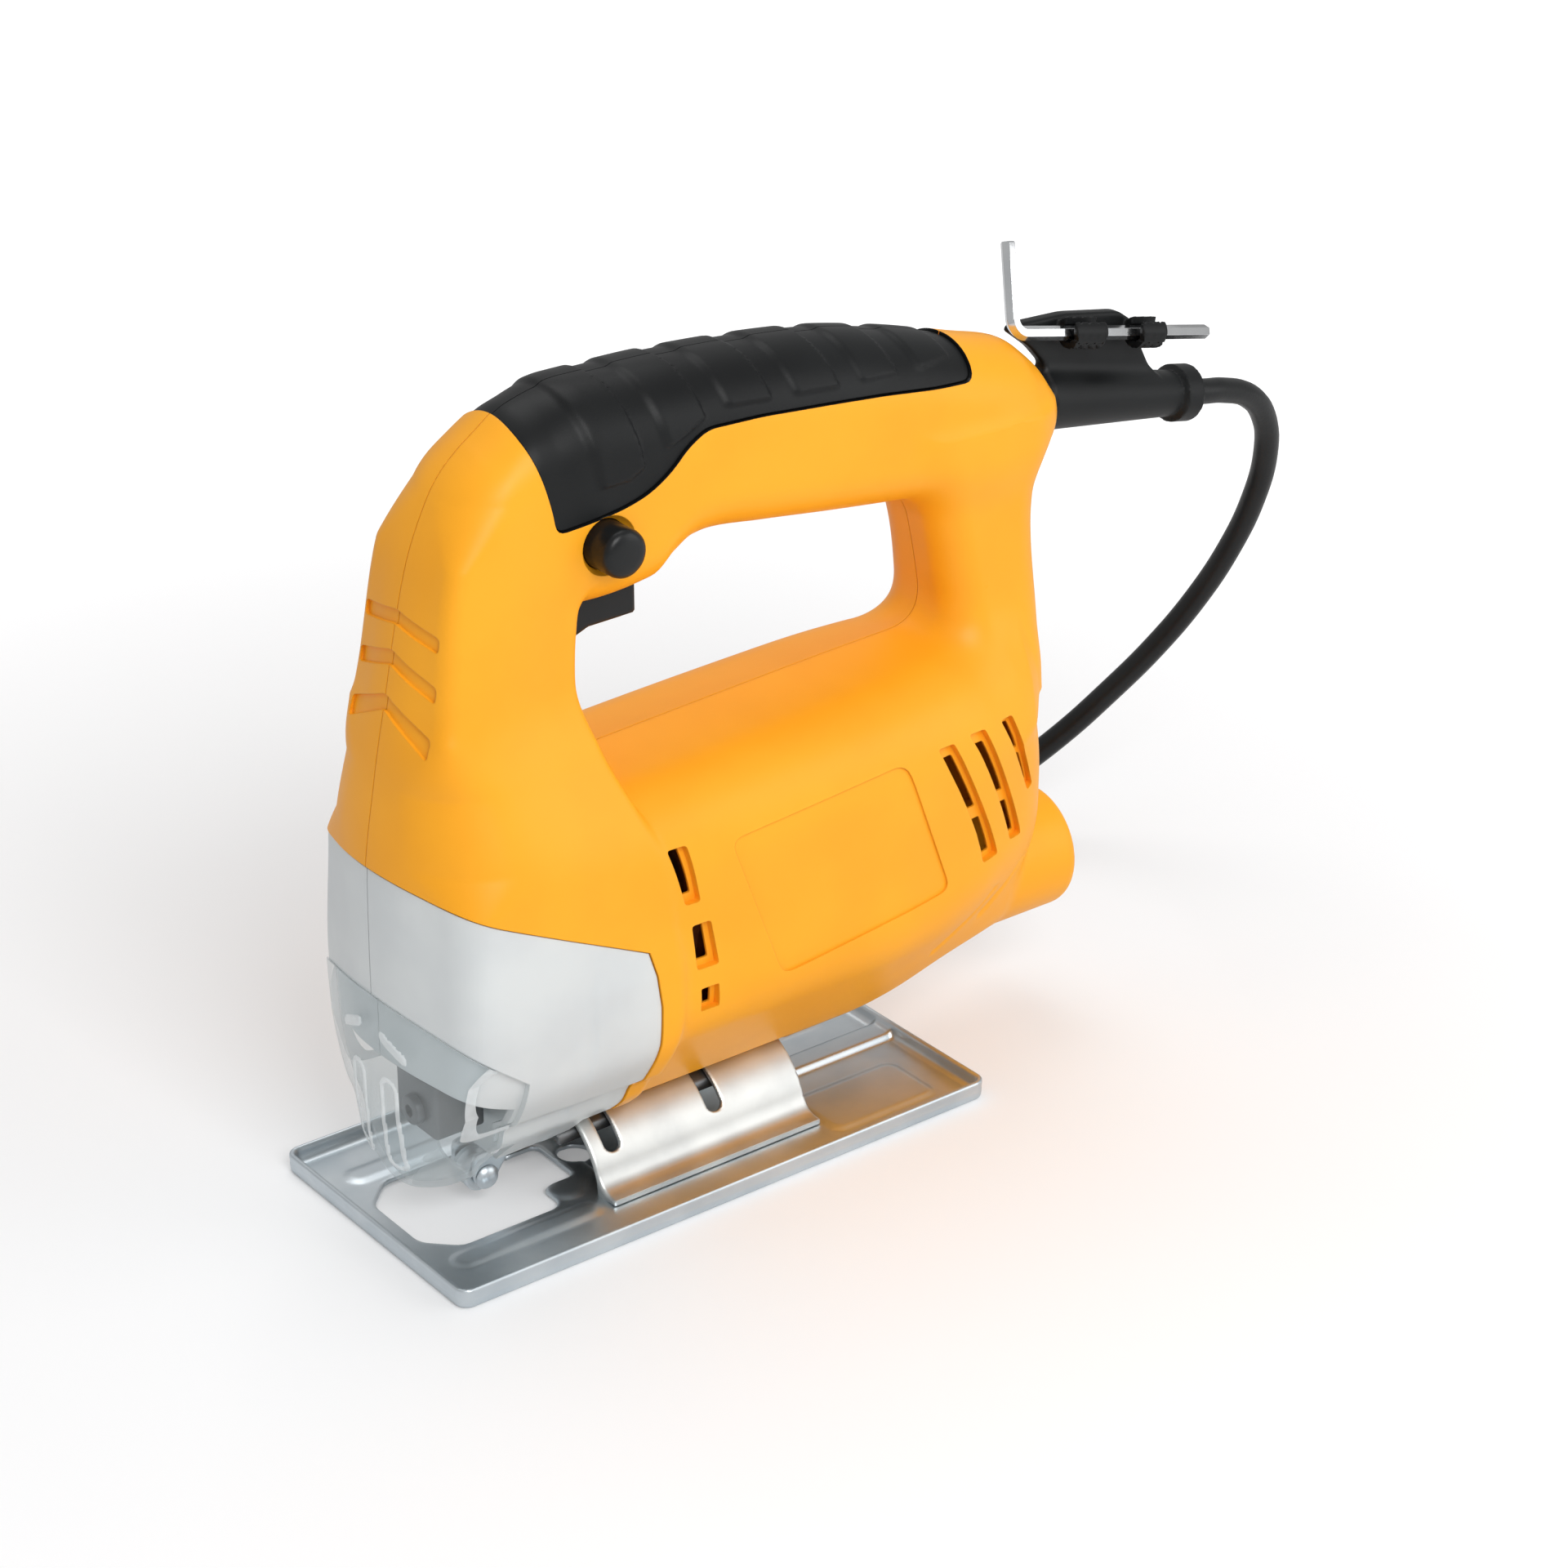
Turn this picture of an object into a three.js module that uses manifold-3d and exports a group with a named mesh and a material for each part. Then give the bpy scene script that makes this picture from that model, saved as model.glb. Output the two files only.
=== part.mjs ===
// A corded jigsaw with a closed handle: a clamshell housing round a universal motor, a spur
// reduction and a slotted yoke that turns rotation into the stroke of the plunger, standing on
// a pressed base plate that tilts about its own sole line for bevel cuts.
//
// Millimetres, +Z up, nose towards -X. The origin is the centre of the sole's underside.
// The plane Y = 0 is the parting plane of the housing.

import * as THREE from 'three';
import { mergeVertices } from 'three/addons/utils/BufferGeometryUtils.js';
import Module from 'manifold-3d';

const wasm = await Module();
wasm.setup();

// ---------------------------------------------------------------- driving dimensions

// Clearances
const GAP = 0.3; // between two fixed pieces that seat in each other
const RUN = 0.3; // round turning and sliding pieces
const SEAM = 0.15; // each housing half stays this far from the parting plane

// Base plate: a pressed tray with an upturned rim
const PLATE_LENGTH = 150;
const PLATE_WIDTH = 75;
const PLATE_SHEET = 1.5;
const RIM_HEIGHT = 5;
const RIM_FLARE = 0.6;
const PLATE_CORNER = 5;
const CUTOUT_FRONT = 7; // behind the plate's front edge
const CUTOUT_LENGTH = 34;
const CUTOUT_WIDTH = 33;
const CUTOUT_CHAMFER = 7;
const ROLLER_NOTCH_LENGTH = 9;
const ROLLER_NOTCH_WIDTH = 16;
const RIB_RISE = 0.9;
const RIB_WIDTH = 7;
const RIB_OFFSET = 22; // of a rib's centre line from the plate's
const RIB_FRONT = -68;
const RIB_REAR = -27.5;
const KEY_HOLE_R = 4;

// Bevel cradle and what clamps it
const ARCH_R = 19.5; // outside of the arch, centred on the sole line
const CRADLE_SHEET = 1.5;
const CRADLE_FRONT = -25.7;
const CRADLE_REAR = 34;
const CRADLE_FOOT = 26; // half width over the feet
const CRADLE_SLOT = 5;
const CRADLE_SLOT_ANGLE = 61; // from the top of the arch to a slot's end, degrees
const CLAMP_SCREW_X = [-19.5, 9.5];
const CLAMP_SCREW_R = 2;
const CLAMP_HEAD_R = 3.5;
const CLAMP_HEAD_H = 4;
const CLAMP_PLATE_SHEET = 2;
const CLAMP_PLATE_ANGLE = 36;
const CLAMP_PLATE_REACH = 5; // ahead of the cradle
const CLAMP_OUTER = ARCH_R - CRADLE_SHEET - GAP;
const CLAMP_INNER = CLAMP_OUTER - CLAMP_PLATE_SHEET;
const NUT_PLATE = 3;
const NUT_PLATE_HALF = 6;

// Housing
const WALL = 2.6;
const GRIP_SKIN = 2.2;
const GRIP_PROUD = 0.4;
const PORT_AXIS_Z = 39; // dust port at the rear
const PORT_R = 15.2;
const PORT_END = 124;
const PORT_WALL = 2.2;
const PORT_DEPTH = 34;
const NOSE_REAR = -17.4; // rear edge of the silver nose covers
const NOSE_TOP_Z = 92; // top edge of the nose covers at the front
const NOSE_TOP_SLOPE = 0.47;
const NOSE_BOTTOM = 14.7;
const GUARD_SHEET = 1.5;
const GUARD_TOP_Z = 61.5;
const GUARD_REAR = -51.5;
const GUARD_BOTTOM = 9.5;
const WINDOW_TOP_Z = 43; // top of the window in the nose behind the guard
const PLATE_RECESS = 0.6; // depth of the bare panel on each side

// Drive
const PLUNGER_X = -55;
const PLUNGER_R = 4;
const STROKE = 18;
const MOTOR_Z = 68;
const PINION_TEETH = 8;
const GEAR_TEETH = 40;
const GEAR_MODULE = 1;
const GEAR_WIDTH = 6;
const GEAR_FRONT = -44;
const FRAME_FRONT = -34;
const FRAME_SHEET = 4;
const SHAFT_R = 3;
const CRANK_PIN_R = 3;
const YOKE_THICK = 5;
const YOKE_BACK = -47;
const BEARING_R = 8;
const BEARING_WIDTH = 6;
const FAN_X = -17;
const FAN_R = 23;
const FAN_BLADES = 9;
const CORE_X = 6;
const CORE_LENGTH = 38;
const STATOR_R = 25;
const ARMATURE_R = 14.5;
const WINDING_END = 12; // how far the armature's winding stands out behind its core
const COMMUTATOR_RISER = 1.4;
const COMMUTATOR_X = CORE_X + CORE_LENGTH + GAP + WINDING_END + GAP + COMMUTATOR_RISER;
const COMMUTATOR_R = 9;
const COMMUTATOR_LENGTH = 13;
const BRUSH_X = COMMUTATOR_X + COMMUTATOR_LENGTH / 2;
const REAR_BEARING_X = COMMUTATOR_X + COMMUTATOR_LENGTH + 9;
const BRUSH_LENGTH = 11;
const BRUSH_SIDE = 5.4;

// Blade clamp, bushes and roller
const CLAMP_BOTTOM = 24;
const CLAMP_HEIGHT = 14;
const CLAMP_HALF = 8;
const CLAMP_DEPTH = 13;
const BLADE_SLOT = 1.6;
const CLAMP_BOLT_Z = 29;
const CLAMP_BOLT_R = 2.2;
const LOWER_BUSH_Z = 50;
const CHAMBER_TOP = 48.5; // ceiling over the blade clamp
const UPPER_BUSH_Z = 113;
const BUSH_HEIGHT = 7;
const BUSH_WALL = 2.5;
const ROLLER_X = -46.8;
const ROLLER_Z = 8;
const ROLLER_R = 4.5;
const ROLLER_WIDTH = 6;
const ROLLER_PIN_R = 1.6;
const STRAP = 2;
const STRAP_HALF = 6;
const STRAP_TOP = 14.4;
const BRACKET_SCREW_X = -35;
const STRAP_REAR = -31;
const BRACKET_SCREW_R = 1.8;

// Switch, trigger and lock button
const TRIGGER_FRONT = -24.4;
const TRIGGER_REAR = -5;
const TRIGGER_HALF = 8;
const TRIGGER_BOTTOM = 136.5;
const TRIGGER_TOP = 150;
const TRIGGER_SPRING_X = -10;
const TRIGGER_SPRING_R = 2.6;
const LOCK_X = -18;
const LOCK_Z = 158;
const LOCK_R = 5.5;
const LOCK_FACE = 24;
const LOCK_TRAVEL = 4;
const SWITCH_HALF = 7;
const SWITCH_BOTTOM = 156;
const SWITCH_TOP = 176;
const SWITCH_REAR = 9;
const CAPACITOR_X = 95.5;
const CAPACITOR_FLOOR = 112; // top of the shelf it stands on in the strut

// Boot, key and cord
const CORD_R = 3.15;
const BOOT_START = [108, 158.1];
const BOOT_END = [166, 147.8];
const BOOT_R = 7;
const BOOT_FLANGE = 2.6; // thickness of the flange inside the housing
const BOOT_TIP_R = 5.6;
const CORD_CLAMP_X = 93.3;
const CORD_CLAMP_Z = 160.7; // where the clamp parts from the rib under the lead
const KEY_FLATS = 3;
const KEY_LONG = 63;
const KEY_SHORT = 21;
const KEY_BEND = [104.1, -5.2, 176.7];
const KEY_LEAN = 20; // of the short arm towards +Y, degrees
const COIL_CENTRE = [90, 120];
const COIL_MEAN_R = 34;
const COIL_LAYERS = 3;
const COIL_FLOOR = 0.2;

// ---------------------------------------------------------------- solids and lofts

function closedGeometry(positions, index) {
  const geometry = new THREE.BufferGeometry();
  geometry.setAttribute('position', new THREE.Float32BufferAttribute(positions, 3));
  geometry.setIndex(index);
  return geometry;
}

// A three.js geometry becomes a solid; an inside-out one is turned first.
function solid(geometry) {
  const plain = geometry.clone();
  plain.deleteAttribute('normal');
  plain.deleteAttribute('uv');
  const merged = mergeVertices(plain, 1e-4);
  const vertProperties = new Float32Array(merged.attributes.position.array);
  const triVerts = new Uint32Array(merged.index.array);
  let volume = 0;
  const corner = (i) => new THREE.Vector3().fromArray(vertProperties, triVerts[i] * 3);
  for (let i = 0; i < triVerts.length; i += 3) {
    volume += corner(i).dot(corner(i + 1).cross(corner(i + 2)));
  }
  if (volume < 0) {
    for (let i = 0; i < triVerts.length; i += 3) {
      [triVerts[i], triVerts[i + 1]] = [triVerts[i + 1], triVerts[i]];
    }
  }
  return new wasm.Manifold(new wasm.Mesh({ numProp: 3, vertProperties, triVerts }));
}

function union(parts) {
  return parts.reduce((whole, part) => whole.add(part));
}

function cut(base, ...tools) {
  return tools.reduce((rest, tool) => rest.subtract(tool), base);
}

function geometryOf(body) {
  const mesh = body.getMesh();
  return closedGeometry(Array.from(mesh.vertProperties), Array.from(mesh.triVerts));
}

function box(x0, x1, y0, y1, z0, z1) {
  const geometry = new THREE.BoxGeometry(x1 - x0, y1 - y0, z1 - z0);
  geometry.translate((x0 + x1) / 2, (y0 + y1) / 2, (z0 + z1) / 2);
  return solid(geometry);
}

// A turned body about an axis along X: profile points are [x, radius].
function turnedX(profile, y, z, sides = 24) {
  const points = profile.map(([x, r]) => new THREE.Vector2(r, x));
  const geometry = new THREE.LatheGeometry(points, sides);
  geometry.rotateZ(-Math.PI / 2);
  geometry.translate(0, y, z);
  return solid(geometry);
}

// The same about an axis along Y or Z: profile points are [along the axis, radius].
function turnedY(profile, x, z, sides = 16) {
  const points = profile.map(([y, r]) => new THREE.Vector2(r, y));
  return solid(new THREE.LatheGeometry(points, sides).translate(x, 0, z));
}

function turnedZ(profile, x, y, sides = 16) {
  const points = profile.map(([z, r]) => new THREE.Vector2(r, z));
  const geometry = new THREE.LatheGeometry(points, sides);
  geometry.rotateX(Math.PI / 2);
  geometry.translate(x, y, 0);
  return solid(geometry);
}

// Profiles for the three functions above: a plain rod and a ring.
function rod(from, to, r) {
  return [[from, 0], [from, r], [to, r], [to, 0]];
}

function ringProfile(from, to, inner, outer) {
  return [[from, inner], [from, outer], [to, outer], [to, inner], [from, inner]];
}

// An outline drawn side on, [x, z], and made as thick as y0 to y1.
function sidePlate(outline, y0, y1) {
  const shape = new THREE.Shape(outline.map(([x, z]) => new THREE.Vector2(x, z)));
  const geometry = new THREE.ExtrudeGeometry(shape, { depth: y1 - y0, bevelEnabled: false });
  geometry.rotateX(Math.PI / 2);
  geometry.translate(0, y1, 0);
  return solid(geometry);
}

// An outline drawn from above, [x, y], and made as thick as z0 to z1.
function floorPlate(outline, z0, z1, holes = []) {
  const toPath = (ring) => ring.map(([x, y]) => new THREE.Vector2(x, y));
  const shape = new THREE.Shape(toPath(outline));
  shape.holes = holes.map((hole) => new THREE.Path(toPath(hole)));
  const geometry = new THREE.ExtrudeGeometry(shape, { depth: z1 - z0, bevelEnabled: false });
  geometry.translate(0, 0, z0);
  return solid(geometry);
}

// An outline seen from the nose, [y, z], and drawn out along X.
function section(outline, x0, x1) {
  const shape = new THREE.Shape(outline.map(([y, z]) => new THREE.Vector2(y, z)));
  const geometry = new THREE.ExtrudeGeometry(shape, { depth: x1 - x0, bevelEnabled: false });
  geometry.applyMatrix4(new THREE.Matrix4().set(0, 0, 1, x0, 1, 0, 0, 0, 0, 1, 0, 0, 0, 0, 0, 1));
  return solid(geometry);
}

function arc(cx, cy, r, fromDegrees, toDegrees, steps) {
  const points = [];
  for (let i = 0; i <= steps; i += 1) {
    const angle = THREE.MathUtils.degToRad(fromDegrees + ((toDegrees - fromDegrees) * i) / steps);
    points.push([cx + r * Math.cos(angle), cy + r * Math.sin(angle)]);
  }
  return points;
}

// A convex section with rounded corners. Corners are [u, v, radius], in order round the
// section; inset moves every side in by that much, which is how a wall gets its inside.
function roundedRing(corners, inset, steps) {
  const count = corners.length;
  const points = corners.map(([u, v]) => new THREE.Vector2(u, v));
  const turn = THREE.ShapeUtils.isClockWise(points) ? -1 : 1;
  const moved = points.map((point, i) => {
    const before = point.clone().sub(points[(i + count - 1) % count]).normalize();
    const after = points[(i + 1) % count].clone().sub(point).normalize();
    const inBefore = new THREE.Vector2(-before.y, before.x).multiplyScalar(turn);
    const inAfter = new THREE.Vector2(-after.y, after.x).multiplyScalar(turn);
    const half = inBefore.clone().add(inAfter).normalize();
    return point.clone().addScaledVector(half, inset / half.dot(inAfter));
  });
  const ring = [];
  moved.forEach((point, i) => {
    const before = moved[(i + count - 1) % count].clone().sub(point);
    const after = moved[(i + 1) % count].clone().sub(point);
    const angle = Math.acos(THREE.MathUtils.clamp(
      before.clone().normalize().dot(after.clone().normalize()), -1, 1));
    const wanted = Math.max(corners[i][2] - inset, 0.5) / Math.tan(angle / 2);
    const tangent = Math.min(wanted, before.length() * 0.47, after.length() * 0.47);
    const start = point.clone().addScaledVector(before.normalize(), tangent);
    const end = point.clone().addScaledVector(after.normalize(), tangent);
    for (let k = 0; k <= steps; k += 1) {
      const t = k / steps;
      const first = start.clone().lerp(point, t);
      ring.push(first.lerp(point.clone().lerp(end, t), t));
    }
  });
  return ring;
}

// Joins sections with the same number of points; place turns (at, u, v) into a 3-D point.
function loft(stations, place, inset = 0, steps = 3) {
  const rings = stations.map(({ at, corners }) => roundedRing(corners, inset, steps)
    .map((p) => place(at, p.x, p.y)));
  return loftRings(rings);
}

function loftRings(rings) {
  const count = rings[0].length;
  const positions = rings.flat().flatMap((p) => [p.x, p.y, p.z]);
  const index = [];
  for (let i = 0; i + 1 < rings.length; i += 1) {
    for (let k = 0; k < count; k += 1) {
      const a = i * count + k;
      const b = i * count + ((k + 1) % count);
      index.push(a, b, a + count, b, b + count, a + count);
    }
  }
  const last = (rings.length - 1) * count;
  for (let k = 1; k + 1 < count; k += 1) {
    index.push(0, k + 1, k);
    index.push(last, last + k, last + k + 1);
  }
  return solid(closedGeometry(positions, index));
}

function mirrored(half) {
  const other = half.filter(([, v]) => Math.abs(v) > 1e-6).map(([u, v, r]) => [u, -v, r]);
  return [...half, ...other.reverse()];
}

const alongZ = (z, x, y) => new THREE.Vector3(x, y, z);
const alongX = (x, z, y) => new THREE.Vector3(x, y, z);

// ---------------------------------------------------------------- housing forms

// Front column, from the nose's bottom up to the handle: at each height the front edge, the
// front corner, the widest place and the rear corner, each as x and half width.
const COLUMN = [
  [9.5, -64, -60, 5, -52, 6, -36, 5],
  [15, -68.8, -62, 9.5, -50, 11, -14, 10],
  [24.5, -71.3, -62, 17.5, -50, 19, -14, 16.5],
  [46, -72, -61.2, 28.5, -49, 31, -12, 30.6],
  [62, -71.9, -61, 30, -49, 33, -12, 31.3],
  [88, -71.4, -61, 29.3, -49, 32.6, -14, 30.3],
  [113, -67.7, -60.5, 21.5, -49, 24.6, -20.5, 19.5],
  [128, -64.6, -59.3, 17.4, -48, 20.2, -24, 14.5],
  [157, -58.1, -53, 15, -43, 18, -20, 15],
  [171, -52.2, -47, 13.7, -37, 16.8, -16, 14.5],
  [181, -45, -40.5, 11, -32, 14.4, -13, 12.5],
  [187.5, -37, -34, 7.5, -28, 10.4, -12, 9.5],
];

function columnForm(inset = 0, steps = 2) {
  const stations = COLUMN.map(([z, front, cornerX, cornerY, sideX, half, rearX, rearY]) => ({
    at: z,
    corners: mirrored([[front, 0, 8], [cornerX, cornerY, 7], [sideX, half, 14], [rearX, rearY, 8]]),
  }));
  stations[stations.length - 1].at -= inset;
  return loft(stations, alongZ, inset, steps);
}

// Motor body: at each x the crest, the shoulder, the side and the narrow bottom.
const CREST_HALF = 7;
const BODY = [
  [-32, 105, 97.5, 30.5, 45, 10, 15],
  [6, 107.4, 100, 31.6, 45, 10, 15],
  [52, 110, 102, 31.1, 45, 10, 15.6],
  [66, 110.6, 102.5, 30.2, 46, 10.5, 18.6],
  [80, 111, 102, 28.6, 49, 11, 23.4],
  [91, 110.2, 100, 26, 52, 11, 27.6],
  [99, 107.5, 97, 22.2, 53, 10, 32],
  [104.5, 103.5, 93, 17, 54, 8, 37],
  [107.5, 98, 88, 10.5, 56, 5, 43],
];

function bodyForm(inset = 0, steps = 2) {
  const stations = BODY.map(([x, crest, shoulder, half, low, bottomHalf, bottom]) => ({
    at: x,
    corners: mirrored([
      [crest, CREST_HALF * Math.min(1, half / 22), 14],
      [shoulder, half, 14],
      [low, half, 12],
      [bottom, bottomHalf, 4],
    ]),
  }));
  stations[stations.length - 1].at -= inset;
  return loft(stations, alongX, inset, steps);
}

// Handle bar: at each x the top, the underside and the half width.
const HANDLE = [
  [-42, 181, 143, 11],
  [-32, 188.6, 143, 15],
  [-18, 191.3, 143, 17],
  [6, 191.2, 146.5, 17.2],
  [47, 187.9, 147, 16.6],
  [69, 183.1, 144.6, 16.3],
  [92, 176.7, 142, 16],
  [109, 169, 143.4, 13.6],
  [113.5, 164, 147.5, 10.2],
  [115.6, 160, 151.8, 6.4],
];

function handleForm(inset = 0, steps = 3) {
  const stations = HANDLE.map(([x, top, bottom, half]) => ({
    at: x,
    corners: mirrored([[top, half, 15], [bottom, half, 11]]),
  }));
  stations[0].at += inset;
  stations[stations.length - 1].at -= inset;
  return loft(stations, alongX, inset, steps);
}

// Rear strut between the motor body and the handle: front, rear and half width.
const STRUT = [
  [96, 87, 108.6, 19],
  [108, 83.6, 109.6, 16],
  [134, 78.4, 108.8, 13.6],
  [147, 74.5, 109.3, 14.4],
  [158, 68, 110.4, 15],
];

function strutForm(inset = 0, steps = 2) {
  const stations = STRUT.map(([z, front, rear, half]) => ({
    at: z,
    corners: mirrored([[front, half, 9], [rear, half, 9]]),
  }));
  return loft(stations, alongZ, inset, steps);
}

// Fills the concave corner between two faces with a round of radius r; dx and dz point from
// the corner into the open side.
function webFillet(x, z, dx, dz, r, half) {
  const outline = [[x, z]];
  for (let i = 0; i <= 4; i += 1) {
    const t = (Math.PI / 2) * (i / 4);
    outline.push([x + dx * r * (1 - Math.sin(t)), z + dz * r * (1 - Math.cos(t))]);
  }
  return sidePlate(outline, -half, half);
}

function outerForm() {
  return union([
    columnForm(),
    bodyForm(),
    handleForm(),
    strutForm(),
    turnedX([[60, 0], [60, PORT_R], [PORT_END - 2, PORT_R], [PORT_END, PORT_R - 2], [PORT_END, 0]],
      0, PORT_AXIS_Z, 24),
    webFillet(76.5, 146, -1, -1, 9, 9),
    webFillet(84, 110.6, -1, 1, 7, 6),
    webFillet(-20.5, 106.6, 1, 1, 9, 8),
  ]);
}

// Everything behind the grip and inside the walls.
function innerForm() {
  const column = columnForm(WALL, 1).intersect(box(-90, 0, -50, 50, 0, 160));
  const floorFill = box(-36, CRADLE_REAR + 4, -22, 22, 0, ARCH_R + GAP + WALL);
  const motorRoom = cut(union([column, bodyForm(WALL, 1)]), floorFill);
  return union([
    motorRoom,
    handleForm(WALL + GRIP_SKIN + GAP, 1),
    strutForm(WALL + 1, 1),
  ]);
}

// ---------------------------------------------------------------- where the skins part

function noseTopAt(x) {
  return NOSE_TOP_Z - NOSE_TOP_SLOPE * (x + 71);
}

function noseZone(back, lower = 0) {
  return sidePlate([[-100, 0], [back, 0], [back, noseTopAt(back) - lower],
    [-100, noseTopAt(-100) - lower]], -60, 60);
}

// The guard's zone seen from the side, and its lower edge seen from the front.
function guardZone(grow = 0) {
  const top = (x) => GUARD_TOP_Z - NOSE_TOP_SLOPE * 1.25 * (x + 72) + grow;
  const rear = GUARD_REAR + grow;
  return sidePlate([[-100, 0], [rear, 0], [rear, top(rear)], [-100, top(-100)]], -60, 60);
}

const GRIP_OUTLINE = [
  [-37.5, 200], [-39.4, 187], [-38.5, 180.5], [-36, 174], [-32.8, 168.4], [-29.9, 163.4],
  [-18.4, 164.6], [-5.8, 166.6], [2.9, 171], [11.6, 175.3], [22.5, 175.4], [49.5, 173.2],
  [77.7, 171.6], [85, 172.8], [87.4, 177.5], [88, 200],
];

function gripForm(inset, steps = 2) {
  return columnForm(inset, steps).add(handleForm(inset, steps));
}

// The grip's own side view, its edges moved in by a gap; its ends run out above the handle.
function gripZone(gap) {
  const ring = roundedRing(GRIP_OUTLINE.map(([x, z]) => [x, z, 0.01]), gap, 1);
  return sidePlate(ring.map((p) => [p.x, p.y]), -60, 60);
}

function bushBore() {
  return turnedZ(rod(40, 140, PLUNGER_R + RUN + BUSH_WALL + GAP), PLUNGER_X, 0, 20);
}

const SCREWS = [[-36, 128], [97, 96], [68, 30], [100.5, 149]];
const NOSE_SCREWS = [[-65, 66], [-29.5, 33]];
const SCREW_R = 1.8;
const SCREW_HEAD_R = 3.5;
const SCREW_SEAT = 6; // where a screw's head sits in the right half
const SCREW_REACH = 9; // into the left half
const BOSS_R = 5.2;

function screwBoss([x, z], side) {
  const profile = side < 0 ? rod(-40, -SEAM, BOSS_R - 1) : rod(SEAM, 40, BOSS_R);
  return turnedY(profile, x, z, 10);
}

function screwHole([x, z], side) {
  if (side < 0) return turnedY(rod(-SCREW_REACH - 1, 0, SCREW_R + GAP), x, z, 10);
  return turnedY([[-1, 0], [-1, SCREW_R + GAP], [SCREW_SEAT, SCREW_R + GAP],
    [SCREW_SEAT, SCREW_HEAD_R + GAP], [60, SCREW_HEAD_R + GAP], [60, 0]], x, z, 10);
}

function screw([x, z]) {
  return turnedY([
    [-SCREW_REACH, 0], [-SCREW_REACH, SCREW_R], [SCREW_SEAT + GAP, SCREW_R],
    [SCREW_SEAT + GAP, SCREW_HEAD_R], [SCREW_SEAT + GAP + 2.4, SCREW_HEAD_R],
    [SCREW_SEAT + GAP + 2.4, 0],
  ], x, z, 8);
}

// ---------------------------------------------------------------- housing halves

// The room on one side of the parting plane.
function halfSpace(side) {
  return side < 0 ? box(-200, 200, -60, -SEAM, -10, 260) : box(-200, 200, SEAM, 60, -10, 260);
}

// Cooling vents, seen from the side: three windows at the fan, three curved slots at the
// brushes.
const FRONT_VENTS = [
  [[-13.5, 90], [-8.4, 90], [-5.6, 76], [-9.6, 76]],
  [[-8, 70.5], [-2.9, 70.5], [-0.7, 59], [-6.6, 59]],
  [[-5.6, 54], [-0.8, 54], [-0.4, 48], [-5.4, 48]],
];
const REAR_VENTS = [
  [[65.2, 92], [69.6, 91.6], [75.2, 76], [84, 61], [79.8, 60.4], [70.8, 76]],
  [[75.2, 93], [79.6, 92.6], [84.6, 78], [92.4, 64.4], [88.4, 63.6], [80.4, 78]],
  [[84.4, 93.6], [88, 93], [91.4, 81], [96.2, 69], [94.4, 67.6], [87.4, 81]],
];
const BARE_PLATE = [[3, 87.9], [53.4, 91.7], [67.8, 55.3], [17.4, 49.9]];

function ribSlab(x0, x1, z0, z1, ...holes) {
  const room = columnForm(WALL - 0.2, 1).add(bodyForm(WALL - 0.2, 1));
  return cut(box(x0, x1, -45, 45, z0, z1).intersect(room), ...holes);
}

function housing() {
  const outer = outerForm();
  const gripRecess = cut(sidePlate(GRIP_OUTLINE, -60, 60), gripForm(GRIP_SKIN + GAP, 1));
  const saddle = turnedX(rod(CRADLE_FRONT - GAP, CRADLE_REAR + GAP, ARCH_R + GAP), 0, 0, 32);
  const motorBore = turnedX(rod(-10, 100, STATOR_R + GAP), 0, MOTOR_Z, 24);
  const bearingBore = turnedX(rod(REAR_BEARING_X - 10, REAR_BEARING_X + 20, BEARING_R + GAP),
    0, MOTOR_Z, 20);
  const port = turnedX(rod(PORT_END - PORT_DEPTH, PORT_END + 5, PORT_R - PORT_WALL),
    0, PORT_AXIS_Z, 20);
  const portWall = turnedX(rod(PORT_END - PORT_DEPTH - PORT_WALL, PORT_END - 3, PORT_R),
    0, PORT_AXIS_Z, 24);
  const shell = union([
    cut(outer, innerForm(), gripRecess),
    ribSlab(CORE_X + 4, CORE_X + 6.2, 46, 104, motorBore),
    ribSlab(CORE_X + CORE_LENGTH - 7, CORE_X + CORE_LENGTH - 4.8, 46, 104, motorBore),
    ribSlab(REAR_BEARING_X, REAR_BEARING_X + 4, 50, 98, bearingBore),
    portWall.intersect(outer),
    handleRibs(),
    cut(ribSlab(-66, -47, UPPER_BUSH_Z + 1, UPPER_BUSH_Z + 5), bushBore()),
  ]);
  const triggerSlot = box(TRIGGER_FRONT - GAP, TRIGGER_REAR + GAP, -TRIGGER_HALF - GAP,
    TRIGGER_HALF + GAP, 130, 156);
  return { outer, body: cut(shell, port, saddle, noseZone(NOSE_REAR), triggerSlot) };
}

// The boot's flange turns a groove into the housing's rear end; its neck fills the hole.
function bootSeat() {
  return bootSolid([[-BOOT_FLANGE - GAP, 0], [-BOOT_FLANGE - GAP, BOOT_R + 1.2 + GAP],
    [GAP, BOOT_R + 1.2 + GAP], [GAP, BOOT_R], [8, BOOT_R], [8.4, BOOT_R + 0.9], [20, BOOT_R + 0.9],
    [20, 0]]);
}

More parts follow.
